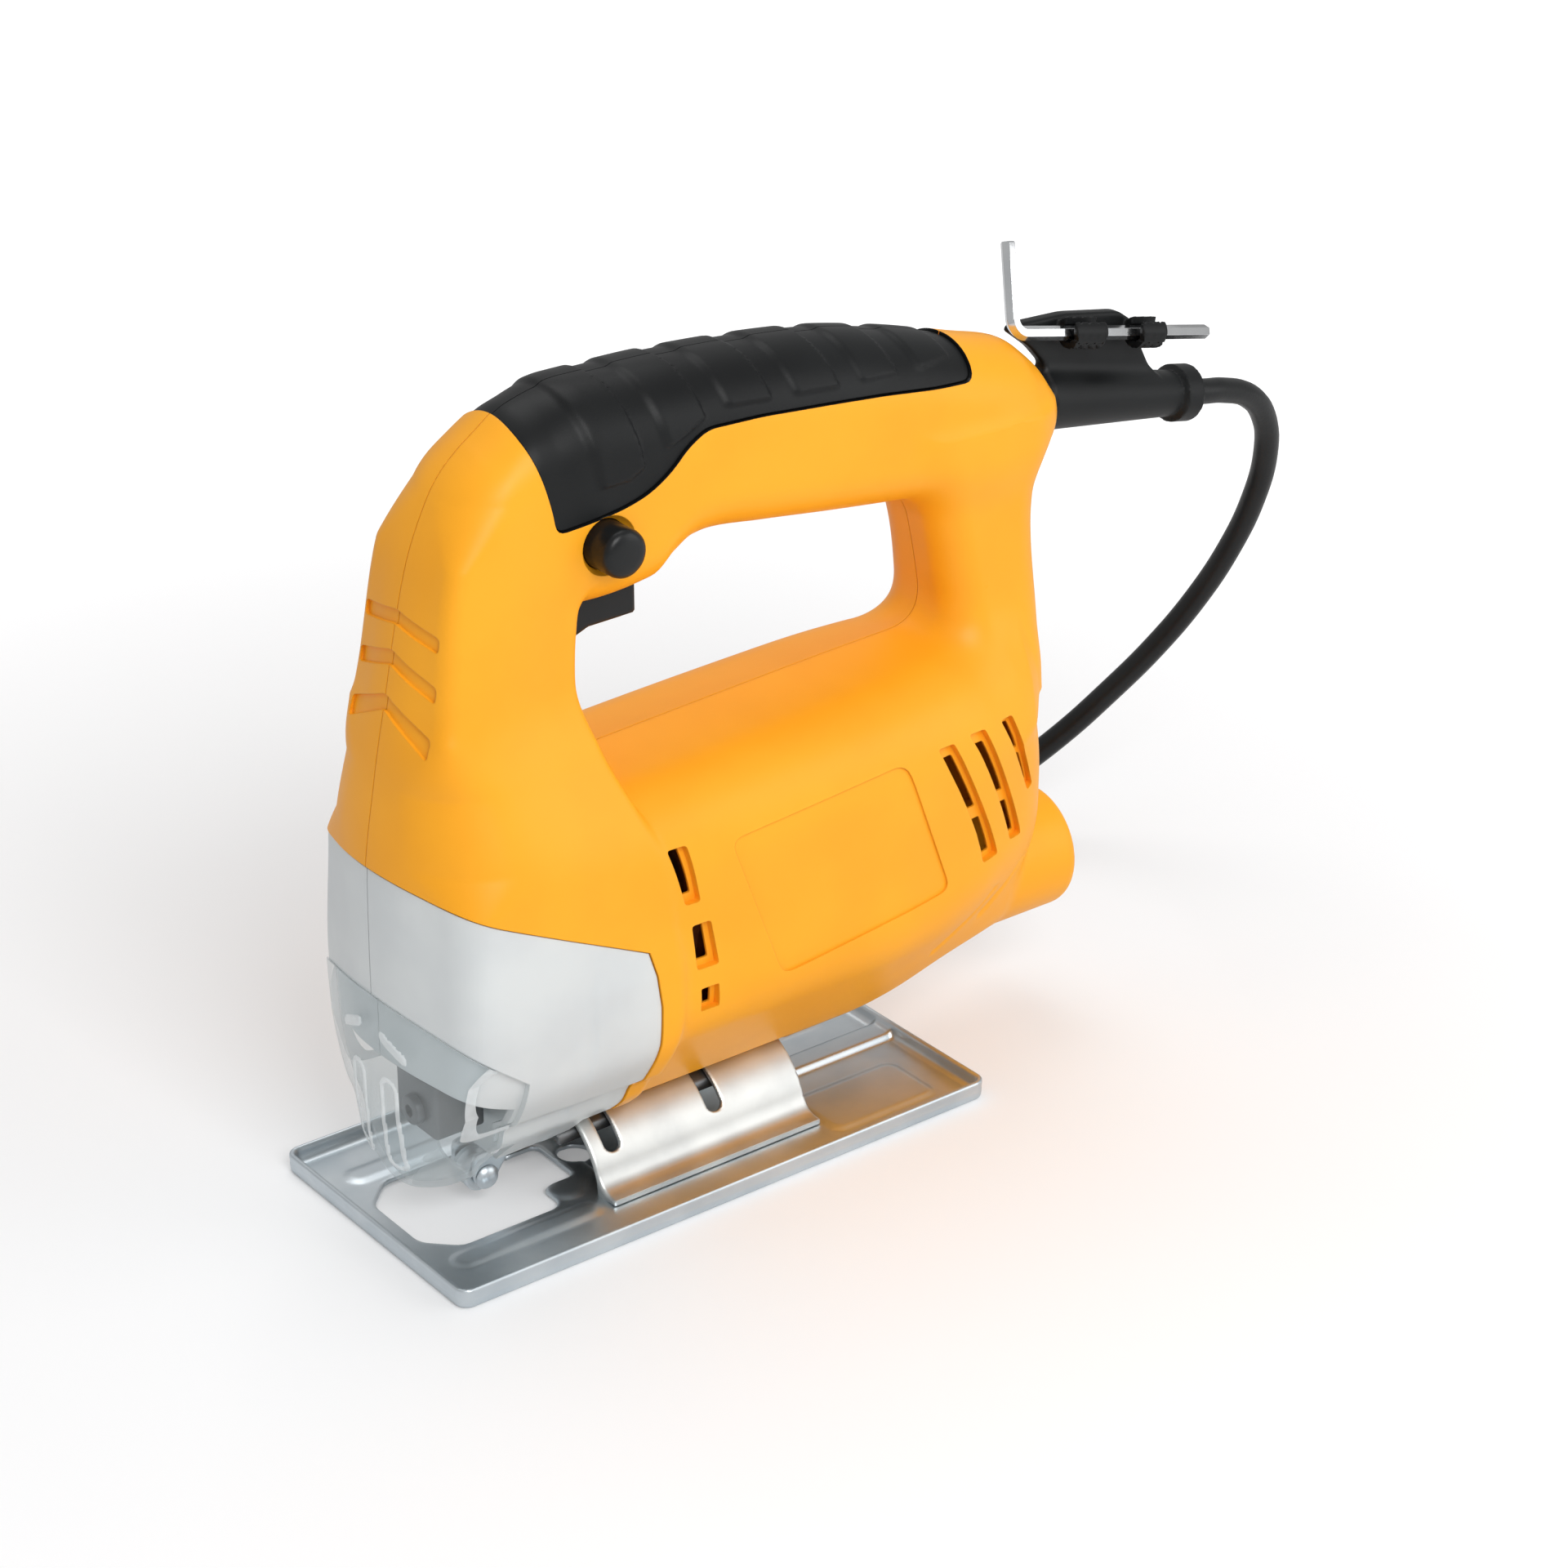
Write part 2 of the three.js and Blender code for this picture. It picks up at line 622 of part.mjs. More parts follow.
// Ribs in the handle that hold the switch and the lead, and the capacitor's shelf below them.
function handleRibs() {
  const rib = (x0, x1) => cut(
    box(x0, x1, -14, 14, 153, 186).intersect(handleForm(WALL + GRIP_SKIN, 1)),
    box(x0 - 1, x1 + 1, -SWITCH_HALF - GAP, SWITCH_HALF + GAP, 140, SWITCH_TOP + GAP),
  );
  const leadRib = cut(box(CORD_CLAMP_X - 2, CORD_CLAMP_X + 2, -15, 15, 143, CORD_CLAMP_Z)
    .intersect(handleForm(WALL)), bootSolid(rod(-30, -5, CORD_R + GAP), 12));
  const shelf = box(80, 110, -14, 14, CAPACITOR_FLOOR - 2, CAPACITOR_FLOOR).intersect(strutForm(WALL));
  return union([rib(-13, -11), rib(3, 5), leadRib, shelf]);
}

function housingHalf({ outer, body }, side) {
  const bosses = union(SCREWS.map((place) => screwBoss(place, side))).intersect(outer);
  const features = [bootSeat(), ...SCREWS.map((place) => screwHole(place, side))];
  const [near, far] = side < 0 ? [-60, -18] : [18, 60];
  [...FRONT_VENTS, ...REAR_VENTS].forEach((vent) => features.push(sidePlate(vent, near, far)));
  const panel = side < 0 ? [-60, -31.6 + PLATE_RECESS] : [31.6 - PLATE_RECESS, 60];
  features.push(sidePlate(BARE_PLATE, ...panel));
  if (side < 0) {
    features.push(turnedY(rod(-40, 0, LOCK_R + RUN), LOCK_X, LOCK_Z, 20));
    features.push(turnedY(rod(-40, -15.8, LOCK_R + 1.4), LOCK_X, LOCK_Z, 20));
  }
  features.push(...CLAMP_SCREW_X.map((x) => turnedZ(rod(10, 30, CLAMP_SCREW_R + GAP), x, 0, 12)));
  return cut(body.add(bosses).intersect(halfSpace(side)), ...features);
}

// ---------------------------------------------------------------- nose covers, guard, grips

function noseShell(outer) {
  const zone = noseZone(NOSE_REAR - GAP, GAP).intersect(box(-100, 0, -60, 60, NOSE_BOTTOM, 120));
  const guardBed = cut(guardZone(GAP), columnForm(GUARD_SHEET + GAP));
  const window = box(-100, -46.8, -17, 17, 0, CHAMBER_TOP);
  const windowFront = sidePlate([[-100, 0], [GUARD_REAR, 0], [GUARD_REAR, 36], [-72, WINDOW_TOP_Z],
    [-100, WINDOW_TOP_Z]], -60, 60);
  const chamber = columnForm(WALL + GUARD_SHEET, 1).intersect(box(-100, -46.8, -60, 60, 0, CHAMBER_TOP));
  const inside = cut(innerForm(), box(-100, -43, -60, 60, 0, 58));
  const saddle = turnedX(rod(CRADLE_FRONT - GAP, 0, ARCH_R + GAP), 0, 0, 32);
  const tongueRoom = turnedX(rod(CRADLE_FRONT - CLAMP_PLATE_REACH - GAP, 0, CLAMP_OUTER + GAP),
    0, 0, 24);
  return cut(outer.intersect(zone), inside, chamber, window, windowFront, guardBed, saddle, tongueRoom,
    bushBore());
}

function noseHalf(shell, side) {
  const bosses = union(NOSE_SCREWS.map((place) => screwBoss(place, side)))
    .intersect(columnForm(WALL / 2)).intersect(noseZone(NOSE_REAR - WALL, WALL));
  const holes = NOSE_SCREWS.map((place) => screwHole(place, side));
  holes.push(turnedZ(rod(10, 30, CLAMP_SCREW_R + GAP), CLAMP_SCREW_X[0], 0, 12));
  holes.push(turnedZ(rod(10, 24, BRACKET_SCREW_R + GAP), BRACKET_SCREW_X, 0, 12));
  return cut(shell.add(bosses).intersect(halfSpace(side)), ...holes);
}

function bladeGuard() {
  const skin = cut(columnForm(), columnForm(GUARD_SHEET)).intersect(guardZone());
  const edge = [[-60, -5], [-60, 60], [-28, 60], [-26, 39], [-19, 24.5], [-6.5, GUARD_BOTTOM],
    [6.5, GUARD_BOTTOM], [19, 24.5], [26, 39], [28, 60], [60, 60], [60, -5]];
  const below = section(edge, -100, -40);
  const ribs = [-1, 1].map((side) => {
    const [y0, y1] = [side * 3.2, side * 8.4].sort((a, b) => a - b);
    const raised = box(-100, -66, y0, y1, 18, 42).intersect(columnForm(-0.9));
    return cut(raised, columnForm(GUARD_SHEET / 2));
  });
  return cut(union([skin, ...ribs]), below);
}

function gripHalf(side) {
  const skin = cut(gripForm(-GRIP_PROUD), gripForm(GRIP_SKIN, 1));
  return skin.intersect(gripZone(GAP)).intersect(halfSpace(side));
}

// ---------------------------------------------------------------- shoe

function roundedRectangle(x0, x1, half, r, steps = 3) {
  return [
    ...arc(x1 - r, half - r, r, 0, 90, steps),
    ...arc(x0 + r, half - r, r, 90, 180, steps),
    ...arc(x0 + r, -half + r, r, 180, 270, steps),
    ...arc(x1 - r, -half + r, r, 270, 360, steps),
  ];
}

function trayForm(bottom, top, inset) {
  const ringAt = (z, grow) => roundedRectangle(
    -PLATE_LENGTH / 2 + inset - grow, PLATE_LENGTH / 2 - inset + grow,
    PLATE_WIDTH / 2 - inset + grow, PLATE_CORNER - inset + grow,
  ).map(([x, y]) => new THREE.Vector3(x, y, z));
  return loftRings([ringAt(bottom, -RIM_FLARE), ringAt(top, 0)]);
}

function capsule(x0, x1, y, half, steps = 5) {
  return [...arc(x1 - half, y, half, -90, 90, steps), ...arc(x0 + half, y, half, 90, 270, steps)];
}

function basePlate() {
  const tray = cut(trayForm(0, RIM_HEIGHT, 0),
    trayForm(PLATE_SHEET, RIM_HEIGHT + 1, PLATE_SHEET));
  const front = -PLATE_LENGTH / 2 + CUTOUT_FRONT;
  const rear = front + CUTOUT_LENGTH;
  const half = CUTOUT_WIDTH / 2;
  const chamfer = CUTOUT_CHAMFER;
  const notch = ROLLER_NOTCH_WIDTH / 2;
  const cutout = floorPlate([
    [front, -half + chamfer], [front + chamfer, -half], [rear - 2, -half], [rear, -half + 2],
    [rear, -notch], [rear + ROLLER_NOTCH_LENGTH, -notch], [rear + ROLLER_NOTCH_LENGTH, notch],
    [rear, notch], [rear, half - 2], [rear - 2, half], [front + chamfer, half],
    [front, half - chamfer],
  ], -1, 10);
  const keyHoles = CLAMP_SCREW_X.map((x) => turnedZ(rod(-1, 10, KEY_HOLE_R), x, 0, 16));
  const ribs = [-1, 1].map((side) => floorPlate(
    capsule(RIB_FRONT, RIB_REAR, side * RIB_OFFSET, RIB_WIDTH / 2, 3), PLATE_SHEET,
    PLATE_SHEET + RIB_RISE));
  const beads = [-1, 1].map((side) => floorPlate(
    capsule(RIB_FRONT + PLATE_SHEET, RIB_REAR - PLATE_SHEET, side * RIB_OFFSET,
      RIB_WIDTH / 2 - PLATE_SHEET, 3), -1, RIB_RISE));
  return cut(union([tray, ...ribs]), ...beads, cutout, ...keyHoles);
}

function bevelCradle() {
  const inner = ARCH_R - CRADLE_SHEET;
  const foot = PLATE_SHEET + CRADLE_SHEET;
  const rise = (r) => THREE.MathUtils.radToDeg(Math.asin(foot / r));
  const outline = [
    [CRADLE_FOOT, PLATE_SHEET], [CRADLE_FOOT, foot],
    ...arc(0, 0, ARCH_R, rise(ARCH_R), 180 - rise(ARCH_R), 16),
    [-CRADLE_FOOT, foot], [-CRADLE_FOOT, PLATE_SHEET],
    ...arc(0, 0, inner, 180 - rise(inner) / 2, rise(inner) / 2, 16),
  ];
  const slots = CLAMP_SCREW_X.map((x) => {
    const sweep = [
      ...arc(0, 0, ARCH_R + 5, 90 - CRADLE_SLOT_ANGLE, 90 + CRADLE_SLOT_ANGLE, 8),
      ...arc(0, 0, inner - 5, 90 + CRADLE_SLOT_ANGLE, 90 - CRADLE_SLOT_ANGLE, 8),
    ];
    return section(sweep, x - CRADLE_SLOT / 2, x + CRADLE_SLOT / 2);
  });
  return cut(section(outline, CRADLE_FRONT, CRADLE_REAR), ...slots);
}

function bevelClampPlate() {
  const from = 90 - CLAMP_PLATE_ANGLE;
  const to = 90 + CLAMP_PLATE_ANGLE;
  const outline = [...arc(0, 0, CLAMP_OUTER, from, to, 8), ...arc(0, 0, CLAMP_INNER, to, from, 8)];
  const plate = section(outline, CRADLE_FRONT - CLAMP_PLATE_REACH, CRADLE_REAR - 2);
  return cut(plate, ...CLAMP_SCREW_X.map((x) => turnedZ(rod(8, 30, CLAMP_SCREW_R + GAP), x, 0, 12)));
}

const NUT_BOTTOM = ARCH_R + GAP + WALL + GAP;

function bevelClampScrew(x) {
  const seat = Math.sqrt(CLAMP_INNER ** 2 - CLAMP_HEAD_R ** 2) - GAP / 3;
  const tip = NUT_BOTTOM + NUT_PLATE + 1;
  const head = turnedZ([
    [seat - CLAMP_HEAD_H, 0], [seat - CLAMP_HEAD_H, CLAMP_HEAD_R], [seat, CLAMP_HEAD_R],
    [seat, CLAMP_SCREW_R], [tip, CLAMP_SCREW_R], [tip, 0],
  ], x, 0, 12);
  const socket = turnedZ(rod(seat - CLAMP_HEAD_H - 1, seat - CLAMP_HEAD_H / 2,
    (KEY_FLATS + 0.1) / Math.sqrt(3)), x, 0, 6);
  return cut(head, socket);
}

function clampNutPlate() {
  const [front, rear] = [CLAMP_SCREW_X[0] - NUT_PLATE_HALF, CLAMP_SCREW_X[1] + NUT_PLATE_HALF];
  const holes = CLAMP_SCREW_X.map((x) => arc(x, 0, CLAMP_SCREW_R + GAP, 0, 330, 11));
  return floorPlate(roundedRectangle(front, rear, NUT_PLATE_HALF, 1.5, 2),
    NUT_BOTTOM, NUT_BOTTOM + NUT_PLATE, holes);
}

// ---------------------------------------------------------------- roller and its bracket

function rollerBracket() {
  const ears = ROLLER_WIDTH / 2 + RUN;
  const bottom = STRAP_TOP - STRAP;
  const ear = sidePlate([
    [ROLLER_X - 3.2, ROLLER_Z], [ROLLER_X - 2, ROLLER_Z - 2.6], [ROLLER_X + 2, ROLLER_Z - 2.6],
    [ROLLER_X + 3.4, ROLLER_Z], [ROLLER_X + 7.5, STRAP_TOP], [ROLLER_X - 3.2, STRAP_TOP],
  ], -ears - 1.6, ears + 1.6);
  const throat = box(-70, ROLLER_X + ROLLER_R + 1, -ears, ears, 0, 30);
  const strap = floorPlate([
    [ROLLER_X + 5, -STRAP_HALF + 1.2], [-40, -STRAP_HALF], [STRAP_REAR, -STRAP_HALF],
    [STRAP_REAR, STRAP_HALF], [-40, STRAP_HALF], [ROLLER_X + 5, STRAP_HALF - 1.2],
  ], bottom, STRAP_TOP);
  return cut(ear.add(strap), throat,
    turnedY(rod(-20, 20, ROLLER_PIN_R + GAP), ROLLER_X, ROLLER_Z, 12),
    turnedZ(rod(0, 20, BRACKET_SCREW_R + GAP), BRACKET_SCREW_X, 0, 12));
}

function rollerPin() {
  const ears = ROLLER_WIDTH / 2 + RUN + 1.6 + GAP;
  return turnedY([[-ears - 1.4, 0], [-ears - 1.4, 2.2], [-ears - 1, 3], [-ears, 3],
    [-ears, ROLLER_PIN_R], [ears, ROLLER_PIN_R], [ears, 2.6], [ears + 1, 2.2], [ears + 1, 0]],
  ROLLER_X, ROLLER_Z, 12);
}

function guideRoller() {
  const half = ROLLER_WIDTH / 2;
  return turnedY([[-half, ROLLER_PIN_R + RUN], [-half, ROLLER_R], [-1.2, ROLLER_R],
    [-0.8, ROLLER_R - 1.2], [0.8, ROLLER_R - 1.2], [1.2, ROLLER_R], [half, ROLLER_R],
    [half, ROLLER_PIN_R + RUN], [-half, ROLLER_PIN_R + RUN]], ROLLER_X, ROLLER_Z, 14);
}

function bracketScrew() {
  const seat = STRAP_TOP - STRAP - GAP / 3;
  return turnedZ([[seat - 1, 0], [seat - 2.2, 1], [seat - 2.2, 3], [seat, 3],
    [seat, BRACKET_SCREW_R], [22, BRACKET_SCREW_R], [22, 0]], BRACKET_SCREW_X, 0, 12);
}

// ---------------------------------------------------------------- stroke drive

const CENTRE_DISTANCE = (GEAR_MODULE * (PINION_TEETH + GEAR_TEETH)) / 2;
const CRANK_Z = MOTOR_Z + CENTRE_DISTANCE;
const YOKE_FRONT = YOKE_BACK - YOKE_THICK;
const GEAR_REAR = GEAR_FRONT + GEAR_WIDTH;

// Straight flanked teeth, thin enough for running backlash; first is a tooth's own angle.
function toothedOutline(teeth, first) {
  const pitchR = (GEAR_MODULE * teeth) / 2;
  const step = 360 / teeth;
  const tip = pitchR + 0.85 * GEAR_MODULE;
  const root = pitchR - 1.15 * GEAR_MODULE;
  const points = [];
  for (let i = 0; i < teeth; i += 1) {
    const centre = first + i * step;
    [[-0.3, root], [-0.11, tip], [0.11, tip], [0.3, root]].forEach(([share, r]) => {
      const angle = THREE.MathUtils.degToRad(centre + share * step);
      points.push([r * Math.cos(angle), r * Math.sin(angle)]);
    });
  }
  return points;
}

function toothed(teeth, first, x0, x1, z) {
  const outline = toothedOutline(teeth, first).map(([y, v]) => [y, v + z]);
  return section(outline, x0, x1);
}

function crankGear() {
  const firstTooth = -90 + 180 / GEAR_TEETH; // a gap faces the pinion
  const wheel = toothed(GEAR_TEETH, firstTooth, GEAR_FRONT, GEAR_REAR, CRANK_Z);
  const hub = turnedX(rod(GEAR_REAR - 1, FRAME_FRONT - RUN, SHAFT_R + 3), 0, CRANK_Z, 20);
  const bore = turnedX(rod(-60, -20, SHAFT_R + RUN), 0, CRANK_Z, 20);
  const recess = turnedX(ringProfile(GEAR_FRONT - 1, GEAR_FRONT + 1.5, 6, 16), 0, CRANK_Z, 16);
  const pad = turnedX(rod(GEAR_FRONT, GEAR_FRONT + 2, CRANK_PIN_R + 2), STROKE / 2, CRANK_Z, 16);
  const pinBore = turnedX(rod(-60, GEAR_FRONT + 4, CRANK_PIN_R + GAP / 2), STROKE / 2, CRANK_Z, 16);
  return cut(union([cut(wheel, recess), hub, pad]), bore, pinBore);
}

function crankPin() {
  return turnedX([[GEAR_FRONT + 3.7, 0], [GEAR_FRONT + 3.7, CRANK_PIN_R],
    [YOKE_BACK + GAP + 0.4, CRANK_PIN_R], [YOKE_BACK + GAP, CRANK_PIN_R - 0.4],
    [YOKE_BACK + GAP, 0]], STROKE / 2, CRANK_Z, 16);
}

function gearAxle() {
  const front = YOKE_BACK + GAP;
  return turnedX([[front, 0], [front, SHAFT_R - 0.4], [front + 0.4, SHAFT_R],
    [FRAME_FRONT + FRAME_SHEET, SHAFT_R], [FRAME_FRONT + FRAME_SHEET, 0]], 0, CRANK_Z, 16);
}

function gearFrame() {
  const room = columnForm(WALL + GAP, 1).add(bodyForm(WALL + GAP, 1));
  const rear = FRAME_FRONT + FRAME_SHEET;
  const plate = box(FRAME_FRONT, rear, -45, 45, 46, 112).intersect(room);
  const collar = turnedX(rod(rear - 1, rear + BEARING_WIDTH, BEARING_R + GAP + 2.2), 0, MOTOR_Z, 24);
  const axleSeat = turnedX(rod(-60, 0, SHAFT_R + GAP), 0, CRANK_Z, 16);
  const bearingSeat = turnedX(rod(rear - 1, 0, BEARING_R + GAP), 0, MOTOR_Z, 24);
  const shaftHole = turnedX(rod(-60, 0, SHAFT_R + 1.5), 0, MOTOR_Z, 16);
  return cut(plate.add(collar), axleSeat, bearingSeat, shaftHole);
}

function plungerRod() {
  const bottom = CLAMP_BOTTOM + CLAMP_HEIGHT - 6;
  const top = UPPER_BUSH_Z + BUSH_HEIGHT + STROKE / 2;
  return turnedZ([[bottom, 0], [bottom, PLUNGER_R], [top - 1, PLUNGER_R], [top, PLUNGER_R - 1],
    [top, 0]], PLUNGER_X, 0, 20);
}

function crankYoke() {
  const slotHalf = CRANK_PIN_R + RUN;
  const reach = STROKE / 2 + slotHalf;
  const plate = section(roundedRectangle(-reach - 3.4, reach + 3.4, slotHalf + 3.6, 3, 3)
    .map(([y, z]) => [y, z + CRANK_Z]), YOKE_FRONT, YOKE_BACK);
  const slot = section(capsule(-reach, reach, 0, slotHalf).map(([y, z]) => [y, z + CRANK_Z]),
    YOKE_FRONT + 1.4, YOKE_BACK + 1);
  const collar = turnedZ(rod(CRANK_Z - 9, CRANK_Z + 9, PLUNGER_R + GAP + 2.4), PLUNGER_X, 0, 20);
  const bore = turnedZ(rod(0, 200, PLUNGER_R + GAP), PLUNGER_X, 0, 20);
  return cut(plate.add(collar), slot, bore);
}

function bush(z) {
  const inner = PLUNGER_R + RUN;
  return turnedZ(ringProfile(z, z + BUSH_HEIGHT, inner, inner + BUSH_WALL), PLUNGER_X, 0, 16);
}

function bladeClamp() {
  const front = PLUNGER_X - CLAMP_DEPTH / 2;
  const rear = PLUNGER_X + CLAMP_DEPTH / 2;
  const top = CLAMP_BOTTOM + CLAMP_HEIGHT;
  const block = floorPlate(roundedRectangle(front, rear, CLAMP_HALF, 2, 3), CLAMP_BOTTOM, top);
  const bore = turnedZ(rod(top - 6 - GAP, top + 5, PLUNGER_R + GAP), PLUNGER_X, 0, 20);
  const slot = box(PLUNGER_X - 4, PLUNGER_X + 4, -BLADE_SLOT / 2, BLADE_SLOT / 2, 0, top - 6.8);
  const screwBore = turnedX(rod(-90, PLUNGER_X - 0.8, CLAMP_BOLT_R + GAP), 0, CLAMP_BOLT_Z, 12);
  return cut(block, bore, slot, screwBore);
}

function bladeClampScrew() {
  const face = PLUNGER_X - CLAMP_DEPTH / 2 - GAP / 3;
  return turnedX([[face - 0.8, 0], [face - 0.8, 2.1], [face - 1.8, 2.1], [face - 1.8, 3.6],
    [face, 3.6], [face, CLAMP_BOLT_R], [PLUNGER_X - 1.2, CLAMP_BOLT_R], [PLUNGER_X - 1.2, 0]],
  0, CLAMP_BOLT_Z, 16);
}

// ---------------------------------------------------------------- motor

const ARMATURE_SLOTS = 10;
const ARMATURE_SLOTS_AT = Array.from({ length: ARMATURE_SLOTS }, (_, i) => (i * 360) / ARMATURE_SLOTS);

function armatureShaft() {
  const rear = REAR_BEARING_X + BEARING_WIDTH + 1;
  const shaft = turnedX([[GEAR_FRONT - 1, 0], [GEAR_FRONT - 1, 2.4], [GEAR_REAR + 1, 2.4],
    [GEAR_REAR + 2, SHAFT_R], [rear, SHAFT_R], [rear, 0]], 0, MOTOR_Z, 16);
  const pinion = toothed(PINION_TEETH, 90, GEAR_FRONT - 0.5, GEAR_REAR + 0.5, MOTOR_Z);
  return shaft.add(pinion);
}

function bearing(x) {
  const inner = SHAFT_R + RUN;
  return turnedX(ringProfile(x, x + BEARING_WIDTH, inner, BEARING_R), 0, MOTOR_Z, 16);
}

function coolingFan() {
  const disc = turnedX(rod(FAN_X, FAN_X + 1.6, FAN_R), 0, MOTOR_Z, 24);
  const hub = turnedX(rod(FAN_X, FAN_X + 9, 6.5), 0, MOTOR_Z, 16);
  const blades = [];
  for (let i = 0; i < FAN_BLADES; i += 1) {
    const blade = new THREE.BoxGeometry(7.4, FAN_R - 8.5, 1.3);
    blade.translate(FAN_X + 1 + 3.7, (FAN_R + 7.5) / 2, 0);
    blade.rotateX((i * 2 * Math.PI) / FAN_BLADES);
    blade.translate(0, 0, MOTOR_Z);
    blades.push(solid(blade));
  }
  const bore = turnedX(rod(-40, 10, SHAFT_R + GAP), 0, MOTOR_Z, 16);
  return cut(union([disc, hub, ...blades]), bore);
}

function armatureCore() {
  const half = 180 / ARMATURE_SLOTS;
  const outline = ARMATURE_SLOTS_AT.flatMap((angle) => [
    ...arc(0, MOTOR_Z, ARMATURE_R - 5, angle - 8, angle + 8, 1),
    ...arc(0, MOTOR_Z, ARMATURE_R, angle + 7, angle + 2 * half - 7, 2),
  ]);
  return cut(section(outline, CORE_X, CORE_X + CORE_LENGTH),
    turnedX(rod(-10, 80, SHAFT_R + GAP), 0, MOTOR_Z, 16));
}

function armatureWinding() {
  const bore = SHAFT_R + GAP;
  const front = turnedX([[CORE_X - 9, bore], [CORE_X - 8, 9], [CORE_X - 5, 12.6],
    [CORE_X - GAP, 13.4], [CORE_X - GAP, bore], [CORE_X - 9, bore]], 0, MOTOR_Z, 16);
  const rear = CORE_X + CORE_LENGTH + GAP;
  const back = turnedX([[rear, bore], [rear, 13.4], [rear + WINDING_END / 2, 12],
    [rear + WINDING_END, 8.4], [rear + WINDING_END, bore], [rear, bore]], 0, MOTOR_Z, 16);
  const bars = ARMATURE_SLOTS_AT.map((angle) => {
    const bar = new THREE.BoxGeometry(CORE_LENGTH + 2, 2.2, 1);
    bar.translate(CORE_X + CORE_LENGTH / 2, ARMATURE_R - 2.6, 0);
    bar.rotateX(THREE.MathUtils.degToRad(angle));
    bar.translate(0, 0, MOTOR_Z);
    return solid(bar);
  });
  return union([front, back, ...bars]);
}

function commutator() {
  const front = COMMUTATOR_X - COMMUTATOR_RISER;
  const rear = COMMUTATOR_X + COMMUTATOR_LENGTH;
  const bore = SHAFT_R + GAP;
  return turnedX([[front, bore], [front, COMMUTATOR_R + 1.6],
    [COMMUTATOR_X, COMMUTATOR_R + 1.6], [COMMUTATOR_X, COMMUTATOR_R], [rear, COMMUTATOR_R],
    [rear, bore], [front, bore]], 0, MOTOR_Z, 20);
}

function statorCore() {
  const ring = section(arc(0, MOTOR_Z, STATOR_R, 0, 345, 23), CORE_X, CORE_X + CORE_LENGTH);
  const room = turnedX(rod(0, 60, ARMATURE_R + 0.7), 0, MOTOR_Z, 24);
  return cut(ring, room, ...[-1, 1].map((side) => coilSide(side, GAP)));
}

// One side of a field coil, running the length of the core between its poles.
function coilSide(side, grow) {
  const outline = [...arc(0, MOTOR_Z, 22.6 + grow, -24 - grow, 24 + grow, 4),
    ...arc(0, MOTOR_Z, ARMATURE_R + 1.4 - grow, 24 + grow, -24 - grow, 3)];
  return section(outline.map(([y, z]) => [side * y, z]), CORE_X - 3, CORE_X + CORE_LENGTH + 3);
}

function fieldCoils() {
  const ends = [[CORE_X - 8, CORE_X - GAP], [CORE_X + CORE_LENGTH + GAP, CORE_X + CORE_LENGTH + 8]];
  const rings = ends.map(([x0, x1]) => turnedX([[x0, ARMATURE_R + 2], [x0, 21.5], [x0 + 2, 24],
    [x1, 24], [x1, ARMATURE_R + 2], [x0, ARMATURE_R + 2]], 0, MOTOR_Z, 16));
  return union([...rings, coilSide(-1, 0), coilSide(1, 0)]);
}

const BRUSH_FROM = COMMUTATOR_R + RUN;
const HOLDER_END = 27;

function carbonBrush(side) {
  const half = BRUSH_SIDE / 2;
  const [y0, y1] = [side * BRUSH_FROM, side * (BRUSH_FROM + BRUSH_LENGTH)].sort((a, b) => a - b);
  return box(BRUSH_X - half, BRUSH_X + half, y0, y1, MOTOR_Z - half, MOTOR_Z + half);
}

function brushHolder(side) {
  const half = BRUSH_SIDE / 2 + GAP;
  const outer = half + 1.3;
  const span = [side * (COMMUTATOR_R + 1.6), side * HOLDER_END].sort((a, b) => a - b);
  const inside = [side * COMMUTATOR_R, side * (HOLDER_END - 1.2)].sort((a, b) => a - b);
  const tube = box(BRUSH_X - outer, BRUSH_X + outer, ...span, MOTOR_Z - outer, MOTOR_Z + outer);
  const flange = [side * (HOLDER_END - 3), side * HOLDER_END].sort((a, b) => a - b);
  const foot = box(BRUSH_X - outer - 2, BRUSH_X + outer + 2, ...flange, MOTOR_Z - outer,
    MOTOR_Z + outer);
  return cut(tube.add(foot),
    box(BRUSH_X - half, BRUSH_X + half, ...inside, MOTOR_Z - half, MOTOR_Z + half));
}

// A compression spring: round wire wound as a helix about +Z, standing at the origin.
function springGeometry(r, wire, height, turns) {
  class Helix extends THREE.Curve {
    getPoint(t, target = new THREE.Vector3()) {
      const angle = t * turns * 2 * Math.PI;
      return target.set(r * Math.cos(angle), r * Math.sin(angle), wire + t * (height - 2 * wire));
    }
  }
  const sectionShape = new THREE.Shape(arc(0, 0, wire, 0, 270, 3)
    .map(([x, y]) => new THREE.Vector2(x, y)));
  return new THREE.ExtrudeGeometry(sectionShape,
    { steps: turns * 8, extrudePath: new Helix(), bevelEnabled: false });
}

// ---------------------------------------------------------------- switch

